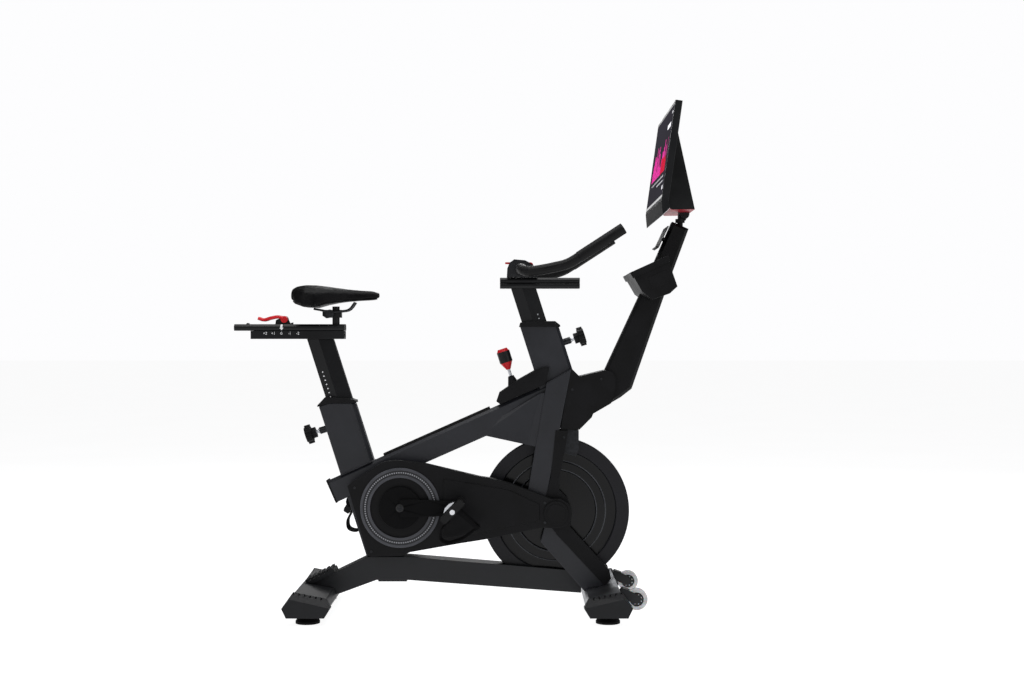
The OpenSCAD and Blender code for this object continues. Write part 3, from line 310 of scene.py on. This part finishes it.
# %% Dotted grey ring
ring_grey = finish(
    "satin_grey_ring", "#3a3b40", "#434449", patch=0.05, grain=0.0011, rough=(0.3, 0.4), relief=0.00005,
    Specular_IOR_Level=0.3,
)
tree, shader, point = parts_of(ring_grey)
radius, angle = round_axis(tree, point, CRANK)
lay(tree, shader, between(tree, radius, 0.1035, 0.118), Base_Color="#1b1c1f")
dots = ring_of_dots(tree, radius, angle, 96, 0.1108, 0.0022)
lay(tree, shader, dots, Base_Color="#8b8c91", Roughness=0.3)
print("ring dots:", 96)

# %% [markdown]
# The crank is forged and coated dead black, so it hardly reflects. The pedal's body is the same, with
# a bright steel clip under it.

# %% Forged crank and pedal
crank_black = finish(
    "black_forged_crank", "#050506", "#080809", patch=0.05, grain=0.001, rough=(0.5, 0.62), relief=0.00005,
    Specular_IOR_Level=0.08,
)
pedal_blacks = {}
for side, x, turn in (("right", 0.17, -225), ("left", -0.17, -238)):
    pedal_black = finish(
        f"pedal_alloy_{side}", "#0a0a0b", "#101011", patch=0.02, grain=0.0009, rough=(0.38, 0.5), relief=0.00005,
        Specular_IOR_Level=0.2,
    )
    tree, shader, point = parts_of(pedal_black)
    _, _, z = seen_from(tree, point, CRANK + Vector((x, 0, 0)), math.radians(turn))
    clip = between(tree, z, -0.03, -0.0155)
    lay(tree, shader, clip, Base_Color="#c4c6ca", Metallic=1.0, Roughness=0.22)
    pedal_blacks[side] = pedal_black
print("pedal finishes:", sorted(pedal_blacks))

# %% [markdown]
# The brake knob is moulded in two colours: a red cap and a red cone, with a black rubber grip between
# them. The bands are measured along the stem.

# %% Two-colour brake knob
brake_nylon = finish(
    "two_shot_brake_knob", "#0c0c0d", "#121214", patch=0.02, grain=0.001, rough=(0.35, 0.5), relief=0.0001,
    Specular_IOR_Level=0.2,
)
tree, shader, point = parts_of(brake_nylon)
_, _, z = seen_from(tree, point, BRAKE, -LEAN)
for low, high in ((0.02, 0.0535), (0.0895, 0.2)):
    lay(tree, shader, between(tree, z, low, high), Base_Color="#b51c24", Roughness=0.34)
print("brake knob: red below 53 mm and above 90 mm")

# %% [markdown]
# The transport wheels are cast urethane, which is cloudy and pale, on a black nylon hub with a ring
# of bright bolt heads.

# %% Urethane transport wheels
urethane = finish(
    "pale_cast_urethane", "#b9bbbd", "#cfd1d3", patch=0.02, grain=0.002, rough=(0.2, 0.34), relief=0.00003,
    Subsurface_Weight=0.3, Subsurface_Scale=0.01,
)
tree, shader, point = parts_of(urethane)
radius, angle = round_axis(tree, point, WHEEL)
lay(tree, shader, between(tree, radius, -1.0, 0.0212), Base_Color="#0e0e10", Roughness=0.4)
lay(tree, shader, ring_of_dots(tree, radius, angle, 8, 0.0152, 0.0017), Base_Color="#d0d2d5", Roughness=0.25)
print("wheel bolt heads:", 8)

# %% [markdown]
# Rubber: the levelling pads, the belt, and the soft coat on the handlebar, which is dipped foam with
# a fine pebble that gives it grip. Its pebbles are about 1 mm across.

# %% Rubbers
pad_rubber = finish(
    "moulded_rubber", "#090909", "#0e0e0f", patch=0.03, grain=0.001, rough=(0.6, 0.75), relief=0.00008,
    Specular_IOR_Level=0.12,
)
bar_coat = finish(
    "dipped_bar_coat", "#09090a", "#0e0e0f", patch=0.04, grain=0.0013, rough=(0.46, 0.6), relief=0.00016,
    Specular_IOR_Level=0.15,
)
tree, shader, point = parts_of(bar_coat)
pebbles = add(tree, "TexVoronoi", {"Vector": point, "Scale": 800.0}, feature="SMOOTH_F1")
pebble = add(tree, "Bump", {"Height": pebbles.outputs[0], "Distance": 0.0001, "Strength": 0.5}, invert=True)
tree.links.new(pebble.outputs[0], shader.inputs["Normal"])
print("rubbers:", pad_rubber.name, bar_coat.name)

# %% [markdown]
# The saddle is covered in vinyl with an embossed grain, pulled tight over foam. The grain is made of
# irregular cells about 1.5 mm across with thin creases between them.

# %% Embossed vinyl
vinyl = finish(
    "embossed_black_vinyl", "#050506", "#08080a", patch=0.05, grain=0.0015, rough=(0.34, 0.46), relief=0.00006,
    Specular_IOR_Level=0.1,
)
tree, shader, point = parts_of(vinyl)
wobble = add(tree, "TexNoise", {"Vector": point, "Scale": 300.0})
bent = add(
    tree, "Mix", {0: 0.002, 6: point, 7: wobble.outputs["Color"]}, data_type="RGBA", blend_type="ADD"
)
cells = add(tree, "TexVoronoi", {"Vector": bent.outputs[2], "Scale": 620.0}, feature="DISTANCE_TO_EDGE")
crease = add(tree, "MapRange", {0: cells.outputs[0], 1: 0.0, 2: 0.12})
emboss = add(tree, "Bump", {"Height": crease.outputs[0], "Distance": 0.00012, "Strength": 0.7})
tree.links.new(emboss.outputs[0], shader.inputs["Normal"])
thread = finish("waxed_black_thread", "#232326", "#2f2f33", patch=0.01, grain=0.0006, rough=(0.6, 0.7))
print("vinyl grain 1.6 mm")

# %% [markdown]
# The screen's case is dark ABS with a pale chin under it, and the back's underside is red. Both
# colours lie on one flat face each, so the height above that face, in the screen's own frame, picks
# them out.


# %% Screen case finishes
def face_mask(tree, point, start, end, depth=0.0007):
    """A mask of what lies within depth of the plane that runs along Y through two points of the screen."""
    x, _, z = seen_from(tree, point, SCREEN, SCREEN_LEAN)
    run, rise = end[0] - start[0], end[1] - start[1]
    size = math.hypot(run, rise)
    a = add(tree, "Math", {0: x, 1: rise / size}, operation="MULTIPLY").outputs[0]
    b = add(tree, "Math", {0: z, 1: -run / size}, operation="MULTIPLY").outputs[0]
    off = add(tree, "Math", {0: a, 1: b}, operation="ADD").outputs[0]
    level = (start[0] * rise - start[1] * run) / size
    near = between(tree, off, level - depth, level + depth, soft=0.0001)
    span = between(tree, x, min(start[0], end[0]) - 0.001, max(start[0], end[0]) + 0.001)
    return add(tree, "Math", {0: near, 1: span}, operation="MULTIPLY").outputs[0]


case_abs = finish(
    "screen_case_abs", "#0d0e10", "#131416", patch=0.09, grain=0.001, rough=(0.34, 0.46), relief=0.00005,
    Specular_IOR_Level=0.2,
)
tree, shader, point = parts_of(case_abs)
lay(tree, shader, face_mask(tree, point, (0.010, -0.044), (0.030, -0.018)), Base_Color="#c9c8cc", Roughness=0.3)
back_abs = finish(
    "screen_back_abs", "#0c0d0e", "#121315", patch=0.09, grain=0.001, rough=(0.3, 0.42), relief=0.00005,
    Specular_IOR_Level=0.25,
)
tree, shader, point = parts_of(back_abs)
for start, end in (((0.050, -0.008), (0.1209, 0.003)), ((0.02205, 0.002), (0.050, -0.008))):
    lay(tree, shader, face_mask(tree, point, start, end), Base_Color="#8e1a28", Roughness=0.4)
print("screen case:", case_abs.name, back_abs.name)

# %% [markdown]
# The display is a lit panel behind anti-glare glass, which has no mirror-like gloss. It shows a plain
# workout page of no real product: a row of magenta effort bars, rows of small white blocks in place
# of figures, and a header bar.
# Each bar's height comes from white noise on its number, so the page never changes.

# %% Display
display = finish(
    "display_glass", "#1c1b1f", "#212026", patch=0.3, grain=0.02, rough=(0.16, 0.22), relief=0.0,
    Specular_IOR_Level=0.0, Emission_Strength=0.6,
)
tree, shader, point = parts_of(display)
_, across, high = seen_from(tree, point, SCREEN, SCREEN_LEAN)
lay(tree, shader, between(tree, high, 0.02, 0.30), Emission_Color="#3a383e")


def panel(low_y, high_y, low_z, high_z):
    """A mask of one rectangle of the page."""
    wide = between(tree, across, low_y, high_y)
    tall = between(tree, high, low_z, high_z)
    return add(tree, "Math", {0: wide, 1: tall}, operation="MULTIPLY").outputs[0]


def blocks(area, pitch, share):
    """A row of blocks along the page, inside an area."""
    step = add(tree, "Math", {0: across, 1: 1 / pitch}, operation="MULTIPLY").outputs[0]
    part = add(tree, "Math", {0: step}, operation="FRACT").outputs[0]
    row = between(tree, part, 0.0, share, soft=0.03)
    return add(tree, "Math", {0: row, 1: area}, operation="MULTIPLY").outputs[0]


step = add(tree, "Math", {0: across, 1: 1 / 0.016}, operation="MULTIPLY").outputs[0]
number = add(tree, "Math", {0: step}, operation="FLOOR").outputs[0]
chance = add(tree, "TexWhiteNoise", {"W": number}, noise_dimensions="1D").outputs["Value"]
top = add(tree, "MapRange", {0: chance, 3: 0.125, 4: 0.215}).outputs[0]
below = add(tree, "Math", {0: high, 1: top}, operation="LESS_THAN").outputs[0]
bars = blocks(panel(-0.2, 0.2, 0.1, 0.23), 0.016, 0.72)
bars = add(tree, "Math", {0: bars, 1: below}, operation="MULTIPLY").outputs[0]
lay(tree, shader, bars, Base_Color="#d0308c", Emission_Color="#e040a0")
red_bars = add(tree, "Math", {0: bars, 1: panel(-0.2, -0.06, 0.1, 0.15)}, operation="MULTIPLY").outputs[0]
lay(tree, shader, red_bars, Base_Color="#c01830", Emission_Color="#c81c38")
for area, pitch, share in (
    (panel(-0.2, 0.16, 0.082, 0.088), 0.03, 0.35),
    (panel(-0.2, 0.0, 0.066, 0.071), 0.03, 0.5),
    (panel(-0.21, -0.12, 0.235, 0.25), 0.09, 1.0),
    (panel(-0.22, -0.19, 0.04, 0.052), 0.03, 1.0),
    (panel(-0.23, -0.2, 0.275, 0.283), 0.012, 0.7),
):
    lay(tree, shader, blocks(area, pitch, share), Base_Color="#d8d8dc", Emission_Color="#e6e6ea")
print("display page drawn")

# %% [markdown]
# Printed white ink for the scale and the depth dots: it is flat and slightly worn.

# %% Ink
white_ink = finish("white_pad_print", "#c8c9cb", "#dddee0", patch=0.01, grain=0.0008, rough=(0.5, 0.6))
print("ink:", white_ink.name)

# %% [markdown]
# A knife-sharp edge gives a model away, since every real edge is rounded and carries a thin line of
# light. A Weld modifier joins the imported triangles, a Bevel modifier rounds the edges that turn by
# more than 28 degrees, and Weighted Normal keeps the flats flat. The frame's own meshes stay as they
# are.

# %% Finishes and softened edges for the frame
FINISHES = {
    powder_coat: {"main_beam": 2.5, "seat_tube": 3, "head_tube": 3, "fork_legs": 3, "bottom_bracket": 1},
    base_coat: {"base_beam": 4, "wheel_brackets": 1.5},
    bar_metal_with_painted_highlight: {"stabiliser_bars": 2},
    cap_abs: {"base_caps": 2},
    textured_abs: {
        "plastic_trims": 1.2, "guard_outer": 2.2, "guard_inner": 1, "left_cover": 2, "front_cowl": 2,
        "tube_collars": 2, "mast": 2.5, "caddy": 2, "media_plate": 0.8, "screen_neck": 1,
        "saddle_shell": 0.8, "seat_knob": 1.5, "bar_knob": 1.5,
    },
    ring_grey: {"guard_rings": 0.6},
    flywheel_iron: {"flywheel": 1.2, "drive_pulley": 1},
    zinc_steel: {
        "bearings": 0.5, "flywheel_axle": 0.6, "seat_pin": 0.6, "bar_pin": 0.6, "brake_stem": 0.6,
    },
    axle_steel: {"crank_axle": 0.8},
    dark_steel: {"fasteners": 0.4, "saddle_rails": 0, "magnet_caliper": 0.8},
    pad_rubber: {
        "drive_belt": 0.6, "foot_front_right": 1.5, "foot_front_left": 1.5, "foot_rear_right": 1.5,
        "foot_rear_left": 1.5,
    },
    post_coat: {"seat_post": 1, "bar_post": 1, "seat_slider": 1.2},
    crank_black: {"crank_right": 2, "crank_left": 2, "cage_right": 0, "cage_left": 0},
    pedal_blacks["right"]: {"pedal_right": 0.8},
    pedal_blacks["left"]: {"pedal_left": 0.8},
    bar_coat: {"handlebar": 0, "bar_grips": 1.5},
    gloss_abs: {"bar_housing": 4},
    red_nylon: {"seat_lever": 0, "bar_lever": 0.8},
    brake_nylon: {"brake_knob": 1.5},
    display: {"screen_glass": 0},
    case_abs: {"screen_frame": 1.5},
    back_abs: {"screen_back": 1.5},
    urethane: {"wheel_right": 1.5, "wheel_left": 1.5},
    vinyl: {"saddle_pad": 0},
}


def soften(node, width):
    """Rounds a node's sharp edges by a width in millimetres, and smooths its shading."""
    weld = node.modifiers.new("join", "WELD")
    weld.merge_threshold = 0.00002
    if width:
        bevel = node.modifiers.new("rounding", "BEVEL")
        bevel.width = width / 1000
        bevel.segments = 2
        bevel.limit_method = "ANGLE"
        bevel.angle_limit = math.radians(28)
        bevel.use_clamp_overlap = True
    shade = node.modifiers.new("even_shading", "WEIGHTED_NORMAL")
    shade.keep_sharp = True


for material, members in FINISHES.items():
    for name, width in members.items():
        node = nodes[name]
        node.data.materials.clear()
        node.data.materials.append(material)
        soften(node, width)
missing = sorted(set(nodes) - {n for members in FINISHES.values() for n in members})
print("finished nodes:", sum(len(m) for m in FINISHES.values()), "without a finish:", missing)

# %% [markdown]
# The saddle is foam on a shell under stretched vinyl. A block of foam pushes its cover out evenly,
# which is what a cloth simulation with a little pressure does to a remeshed copy of the CAD solid.
# Each point's travel is capped, so the cushion stays the size of the real one.


# %% Saddle cushion
def only(piece):
    """Selects one object and makes it active."""
    bpy.ops.object.select_all(action="DESELECT")
    piece.select_set(True)
    bpy.context.view_layer.objects.active = piece


def apply_all(piece):
    """Applies a piece's modifiers in order."""
    only(piece)
    for modifier in list(piece.modifiers):
        bpy.ops.object.modifier_apply(modifier=modifier.name)


cushion = nodes["saddle_pad"].copy()
cushion.data = nodes["saddle_pad"].data.copy()
cushion.name = "saddle_cushion"
for key in list(cushion.keys()):
    if key.startswith("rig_"):
        del cushion[key]
cushion.parent = None
cushion.modifiers.clear()
scene.collection.objects.link(cushion)
shape = bmesh.new()
shape.from_mesh(cushion.data)
bmesh.ops.remove_doubles(shape, verts=shape.verts, dist=0.00002)
middle = sum((v.co for v in shape.verts), Vector()) / len(shape.verts)
for v in shape.verts:
    v.co.x = middle.x + (v.co.x - middle.x) * 0.992
    v.co.y *= 0.97
    v.co.z -= 0.0005
shape.to_mesh(cushion.data)
shape.free()
remesh = cushion.modifiers.new("even_faces", "REMESH")
remesh.mode = "VOXEL"
remesh.voxel_size = 0.005
apply_all(cushion)
start = [v.co.copy() for v in cushion.data.vertices]
underside = min(p.z for p in start) + 0.02
grip = cushion.vertex_groups.new(name="glued_to_shell")
for v in cushion.data.vertices:
    down = max(0.0, -v.normal.z)
    grip.add([v.index], 1.0 if down > 0.6 else 0.0, "REPLACE")
cloth = cushion.modifiers.new("cover", "CLOTH")
cloth.settings.quality = 6
cloth.settings.use_pressure = True
cloth.settings.uniform_pressure_force = 4
cloth.settings.effector_weights.gravity = 0
cloth.settings.vertex_group_mass = grip.name
cloth.point_cache.frame_start = 1
cloth.point_cache.frame_end = 20
for number in range(1, 21):
    scene.frame_set(number)
apply_all(cushion)
scene.frame_set(1)
cushion.vertex_groups.clear()
cap = 0.004
for v, place in zip(cushion.data.vertices, start):
    move = v.co - place
    if move.length > cap:
        v.co = place + move * (cap / move.length)
smooth = cushion.modifiers.new("relax", "LAPLACIANSMOOTH")
smooth.iterations = 2
smooth.lambda_factor = 0.4
finer = cushion.modifiers.new("finer", "SUBSURF")
finer.levels = finer.render_levels = 1
apply_all(cushion)
bpy.ops.object.shade_smooth()
cushion.data.materials.clear()
cushion.data.materials.append(vinyl)
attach(cushion, "saddle")
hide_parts("saddle_pad")
print("cushion points:", len(cushion.data.vertices))

# %% [markdown]
# Two rows of stitching hold the cover's side panels to its top. A stitch is a small ball drawn out
# along the seam. They are 5 mm apart, and each lies where a ray cast down meets the cushion.


# %% Stitching
def join_into(name, pieces, material, body):
    """Joins pieces to one object with its place in its mesh, and rides it on a body."""
    bpy.ops.object.select_all(action="DESELECT")
    for piece in pieces:
        piece.select_set(True)
    bpy.context.view_layer.objects.active = pieces[0]
    bpy.ops.object.join()
    piece = bpy.context.active_object
    bpy.ops.object.transform_apply(location=True, rotation=True, scale=True)
    piece.name = name
    piece.data.materials.clear()
    piece.data.materials.append(material)
    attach(piece, body)
    return piece


def bevel_piece(piece, width, segments=2):
    """Rounds every edge of a new piece."""
    bevel = piece.modifiers.new("rounding", "BEVEL")
    bevel.width = width
    bevel.segments = segments
    bevel.limit_method = "ANGLE"
    apply_all(piece)


stitches = []
view = bpy.context.evaluated_depsgraph_get()
hits = 0
for side in (-1, 1):
    for i in range(44):
        x = -0.525 + i * 0.0052
        share = (x + 0.5496) / 0.282
        wide = 0.055 - 0.045 * min(1.0, max(0.0, (share - 0.28) / 0.34)) if share > 0.28 else 0.055
        wide -= 0.018 * max(0.0, (0.16 - share) / 0.16)
        found, place, normal, _ = cushion.ray_cast(Vector((x, side * wide, 1.2)), Vector((0, 0, -1)))
        if not found:
            continue
        hits += 1
        bpy.ops.object.select_all(action="DESELECT")
        bpy.ops.mesh.primitive_ico_sphere_add(subdivisions=1, radius=0.0005, location=place + normal * 0.0001)
        stitch = bpy.context.active_object
        stitch.scale = (3.2, 1.0, 0.8)
        stitch.rotation_euler = normal.to_track_quat("Z", "Y").to_euler()
        stitches.append(stitch)
join_into("saddle_stitching", stitches, thread, "saddle")
print("stitches:", hits)

# %% [markdown]
# The seat post carries seven white depth dots and the handlebar post two bright ones. Each is a thin
# pressed disc with a rounded rim, lying on the post's slanting side. Each disc is made at the
# origin, and turned to face the way its side faces.


# %% Depth dots
def side_dots(name, base, offset, places, material, body, slant, size):
    """Discs on both slanting sides of a post. Places are (forward, up) from the base along the lean."""
    made = []
    for side in (-1, 1):
        out = (ACROSS * -math.sin(slant) + Vector((0, side * math.cos(slant), 0))).normalized()
        for forward, rise, half in places:
            centre = base + ACROSS * (offset + forward) + UP * rise + Vector((0, side * half, 0))
            bpy.ops.object.select_all(action="DESELECT")
            bpy.ops.mesh.primitive_cylinder_add(vertices=24, radius=size, depth=0.0008)
            disc = bpy.context.active_object
            bevel_piece(disc, 0.0002)
            disc.rotation_euler = out.to_track_quat("Z", "Y").to_euler()
            disc.location = centre + out * 0.0001
            made.append(disc)
    return join_into(name, made, material, body)


slant = math.atan2(0.38 * 0.0225, 0.45 * 0.080)
seat_places = []
for i in range(7):
    rise = (0.771 - 0.0132 * i - SEAT_BASE.z) / UP.z
    seat_places.append((-0.024, rise, 0.0225 * (0.62 + 0.38 * (0.040 - 0.024) / 0.036)))
side_dots(
    "seat_depth_dots", SEAT_BASE, 0.011, seat_places, white_ink, "seat_column", slant, 0.0022
)
bar_places = []
for height in (0.950, 0.937):
    rise = (height - HEAD_TOP.z) / UP.z
    bar_places.append((0.018, rise, 0.021 * (0.62 + 0.38 * (0.0385 - 0.018) / 0.04235)))
bar_slant = -math.atan2(0.38 * 0.021, 0.55 * 0.077)
side_dots(
    "bar_depth_dots", HEAD_TOP, -0.011, bar_places, zinc_steel, "bar_column", bar_slant, 0.0024
)
print("dots:", len(seat_places), len(bar_places))

# %% [markdown]
# A scale on the saddle's carriage runs from +2 to -2, and an arrow on the slider points at it. Both
# are pad-printed ink, so they are made 0.1 mm thick from text and a flat arrow, turned to a mesh, and
# the arrow is wrapped over the slider's chamfer.

# %% Seat scale
marks = []
for i, word in enumerate(("+2", "+1", "0", "-1", "-2")):
    x = -0.6330 + 0.0262 * i
    for side in (-1, 1):
        bpy.ops.object.select_all(action="DESELECT")
        bpy.ops.object.text_add()
        mark = bpy.context.active_object
        mark.data.body = word
        mark.data.size = 0.0125
        mark.data.extrude = 0.00012
        mark.data.align_x = "CENTER"
        bpy.ops.object.convert(target="MESH")
        mark.rotation_euler = (math.radians(90), 0, 0 if side < 0 else math.pi)
        mark.location = (x, side * 0.02505, 0.8872)
        marks.append(mark)
join_into("seat_scale", marks, white_ink, "seat_column")

arrows = []
for side in (-1, 1):
    bpy.ops.object.select_all(action="DESELECT")
    bpy.ops.mesh.primitive_grid_add(x_subdivisions=8, y_subdivisions=20, size=1)
    arrow = bpy.context.active_object
    shape = bmesh.new()
    shape.from_mesh(arrow.data)
    for v in shape.verts:
        across_share, fall = v.co.x + 0.5, v.co.y + 0.5
        half = 0.0034 if fall > 0.45 else 0.0075 * fall / 0.45
        z = 0.0015 + 0.0185 * fall
        v.co = Vector(((across_share - 0.5) * 2 * half, z, 0.0))
    bmesh.ops.remove_doubles(shape, verts=shape.verts, dist=0.00001)
    for v in shape.verts:
        x, z = v.co.x, v.co.y
        out = 0.022 + 0.004 * min(1.0, z / 0.007) - 0.007 * max(0.0, (z - 0.014) / 0.007)
        v.co = Vector((-0.5804 + x, side * (out + 0.00022), SLIDER_Z + z))
    bmesh.ops.recalc_face_normals(shape, faces=shape.faces)
    shape.to_mesh(arrow.data)
    shape.free()
    thick = arrow.modifiers.new("ink", "SOLIDIFY")
    thick.thickness = 0.0002
    thick.offset = 0
    apply_all(arrow)
    arrows.append(arrow)
join_into("seat_arrow", arrows, white_ink, "seat_carrier")
print("marks:", len(marks), "arrows:", len(arrows))

# %% [markdown]
# Where a tube meets another, the real frame has a weld: a small bead laid down as a row of
# overlapping scales. A plain round rod would be far too smooth, so each scale is a flattened ball,
# one every 4 mm along the joint, and the paint goes over them.


# %% Weld beads
def bead(name, corners, material, closed=True):
    """Overlapping scales along the straight runs between corners."""
    ends = list(zip(corners, corners[1:] + corners[:1])) if closed else list(zip(corners, corners[1:]))
    scales = []
    for a, b in ends:
        a, b = Vector(a), Vector(b)
        count = max(2, round((b - a).length / 0.004))
        for i in range(count):
            bpy.ops.object.select_all(action="DESELECT")
            bpy.ops.mesh.primitive_ico_sphere_add(subdivisions=2, radius=0.0031, location=a.lerp(b, i / count))
            scale = bpy.context.active_object
            scale.scale = (1, 1, 0.85)
            bpy.ops.object.shade_smooth()
            scales.append(scale)
    return join_into(name, scales, material, "frame"), len(scales)


SLOPE = math.radians(23.9)
BEAM_TAIL = Vector((-0.431, 0, 0.4185))


def on_beam(base, forward, y, lift=0.0):
    """Where a line along the lean, forward of a base, meets the top of the beam."""
    foot = base + ACROSS * forward
    beam_top = BEAM_TAIL.z + (foot.x - BEAM_TAIL.x) * math.tan(SLOPE)
    rise = (beam_top - foot.z) / (UP.z - UP.x * math.tan(SLOPE))
    return foot + UP * (rise + lift) + Vector((0, y, 0))


seat_weld, count_a = bead(
    "seat_tube_weld",
    [on_beam(SEAT_BASE, f, y) for f, y in ((-0.057, -0.030), (0.045, -0.030), (0.057, -0.018), (0.057, 0.018),
                                           (0.045, 0.030), (-0.057, 0.030))],
    powder_coat,
)
print("weld scales:", count_a)

# %% [markdown]
# A screw cap sits in the middle of each crank, and the screen's back has a field of cooling slats and
# four mounting screws. Each is one shape, modelled once: a cap is a cylinder whose face is inset and
# pushed in for its hexagon, and a slat is a bar with rounded edges. The copies have their own mesh.


# %% Caps and slats
def socket_cap(radius, height, place, out):
    """A screw head with a sunk hexagonal socket, facing out."""
    bpy.ops.object.select_all(action="DESELECT")
    bpy.ops.mesh.primitive_cylinder_add(vertices=6, radius=radius, depth=height)
    cap_piece = bpy.context.active_object
    bpy.ops.object.mode_set(mode="EDIT")
    bpy.ops.mesh.select_all(action="DESELECT")
    bpy.ops.object.mode_set(mode="OBJECT")
    for face in cap_piece.data.polygons:
        face.select = face.normal.z > 0.9
    bpy.ops.object.mode_set(mode="EDIT")
    bpy.ops.mesh.inset(thickness=radius * 0.45)
    bpy.ops.mesh.extrude_region_move(TRANSFORM_OT_translate={"value": (0, 0, -height * 0.6)})
    bpy.ops.object.mode_set(mode="OBJECT")
    ring = cap_piece.modifiers.new("rounding", "BEVEL")
    ring.width = radius * 0.08
    ring.segments = 2
    ring.limit_method = "ANGLE"
    apply_all(cap_piece)
    cap_piece.rotation_euler = Vector(out).to_track_quat("Z", "Y").to_euler()
    cap_piece.location = place
    return cap_piece


for side, word in ((-1, "right"), (1, "left")):
    cap_piece = socket_cap(0.009, 0.003, CRANK + Vector((0, side * 0.1003, 0)), (0, side, 0))
    join_into(f"crank_cap_{word}", [cap_piece], dark_steel, "crank_set")


def on_screen(x, y, z):
    """A point of the screen's own frame, where X is out of its back and Z up its slope."""
    turn = Matrix.Rotation(SCREEN_LEAN, 4, "Y")
    return SCREEN + turn @ Vector((x, y, z))


back_low, back_high = Vector((0.1209, 0, 0.003)), Vector((0.034, 0, 0.238))
slope_out = Vector((back_high.z - back_low.z, 0, back_low.x - back_high.x)).normalized()
turn = Matrix.Rotation(SCREEN_LEAN, 3, "Y")
slats = []
for i in range(13):
    local = back_low.lerp(back_high, 0.3 + 0.035 * i)
    bpy.ops.object.select_all(action="DESELECT")
    bpy.ops.mesh.primitive_cube_add(size=1)
    slat = bpy.context.active_object
    slat.scale = (0.003, 0.15, 0.0028)
    bpy.ops.object.transform_apply(location=False, rotation=False, scale=True)
    bevel_piece(slat, 0.0009)
    slat.rotation_euler = (turn @ slope_out).to_track_quat("X", "Z").to_euler()
    slat.location = on_screen(*local)
    slats.append(slat)
join_into("screen_slats", slats, textured_abs, "screen")
screws = []
for share in (0.16, 0.88):
    for y in (-0.09, 0.09):
        local = back_low.lerp(back_high, share)
        screws.append(socket_cap(0.005, 0.002, on_screen(local.x, y, local.z), turn @ slope_out))
join_into("screen_screws", screws, dark_steel, "screen")
print("slats:", len(slats), "screws:", len(screws))

# %% [markdown]
# Each end of the caddy has a raised panel with soft corners. A plane is added at the panel's size, its
# corners are rounded in edit mode, and it is given a thickness and a rounded rim.

# %% Caddy end panels
panels = []
for side in (-1, 1):
    bpy.ops.object.select_all(action="DESELECT")
    bpy.ops.mesh.primitive_plane_add(size=1)
    plate = bpy.context.active_object
    plate.scale = (0.062, 0.040, 1)
    bpy.ops.object.transform_apply(location=False, rotation=False, scale=True)
    bpy.ops.object.mode_set(mode="EDIT")
    bpy.ops.mesh.select_all(action="SELECT")
    bpy.ops.mesh.bevel(offset=0.007, segments=4, affect="VERTICES")
    bpy.ops.mesh.extrude_region_move(TRANSFORM_OT_translate={"value": (0, 0, 0.0022)})
    bpy.ops.mesh.select_all(action="SELECT")
    bpy.ops.mesh.normals_make_consistent(inside=False)
    bpy.ops.object.mode_set(mode="OBJECT")
    bevel_piece(plate, 0.0008)
    plate.rotation_euler = (math.radians(90), -math.radians(22), 0)
    plate.location = (0.617, side * 0.1402 + 0.0011, 1.058)
    panels.append(plate)
join_into("caddy_end_panels", panels, textured_abs, "frame")
print("caddy panels:", len(panels))

# %% [markdown]
# The stage is a glowing floor that runs to the horizon and a white world, like a light table. The
# world shows bright behind the bike but casts only an eighth of that light on it, so that black
# stays black. Four large soft lights from above give the dark frame its light edges.

# %% Stage and lights
bpy.ops.object.select_all(action="DESELECT")
bpy.ops.mesh.primitive_plane_add(size=120, location=(0, 0, 0))
floor = bpy.context.active_object
floor.name = "floor"
floor_paint = finish(
    "backlit_floor", "#97979a", "#a0a0a3", patch=0.8, grain=0.01, rough=(0.9, 0.95), relief=0.0,
    Specular_IOR_Level=0.0, Emission_Color=linear("#ffffff"), Emission_Strength=0.92,
)
floor.data.materials.append(floor_paint)

world = bpy.data.worlds.new("studio")
scene.world = world
world.use_nodes = True
world.node_tree.nodes["Background"].inputs[0].default_value = linear("#fdfdfe")
seen = add(world.node_tree, "LightPath").outputs["Is Camera Ray"]
power = add(world.node_tree, "Math", {0: seen, 1: 0.88, 2: 0.12}, operation="MULTIPLY_ADD").outputs[0]
world.node_tree.links.new(power, world.node_tree.nodes["Background"].inputs[1])
for name, place, size, power in (
    ("overhead", (0.0, -0.4, 4.2), 3.0, 120),
    ("front_left", (-2.6, -3.2, 2.8), 2.0, 34),
    ("front_right", (3.0, -2.8, 2.2), 2.0, 30),
    ("rear", (0.6, 3.4, 3.0), 2.4, 60),
):
    lamp = bpy.data.objects.new(name, bpy.data.lights.new(name, "AREA"))
    scene.collection.objects.link(lamp)
    lamp.data.size = size
    lamp.data.energy = power
    lamp.location = place
    lamp.rotation_euler = (Vector((0.1, 0, 0.7)) - Vector(place)).to_track_quat("-Z", "Y").to_euler()
scene.view_settings.view_transform = "Standard"
scene.view_settings.look = "None"
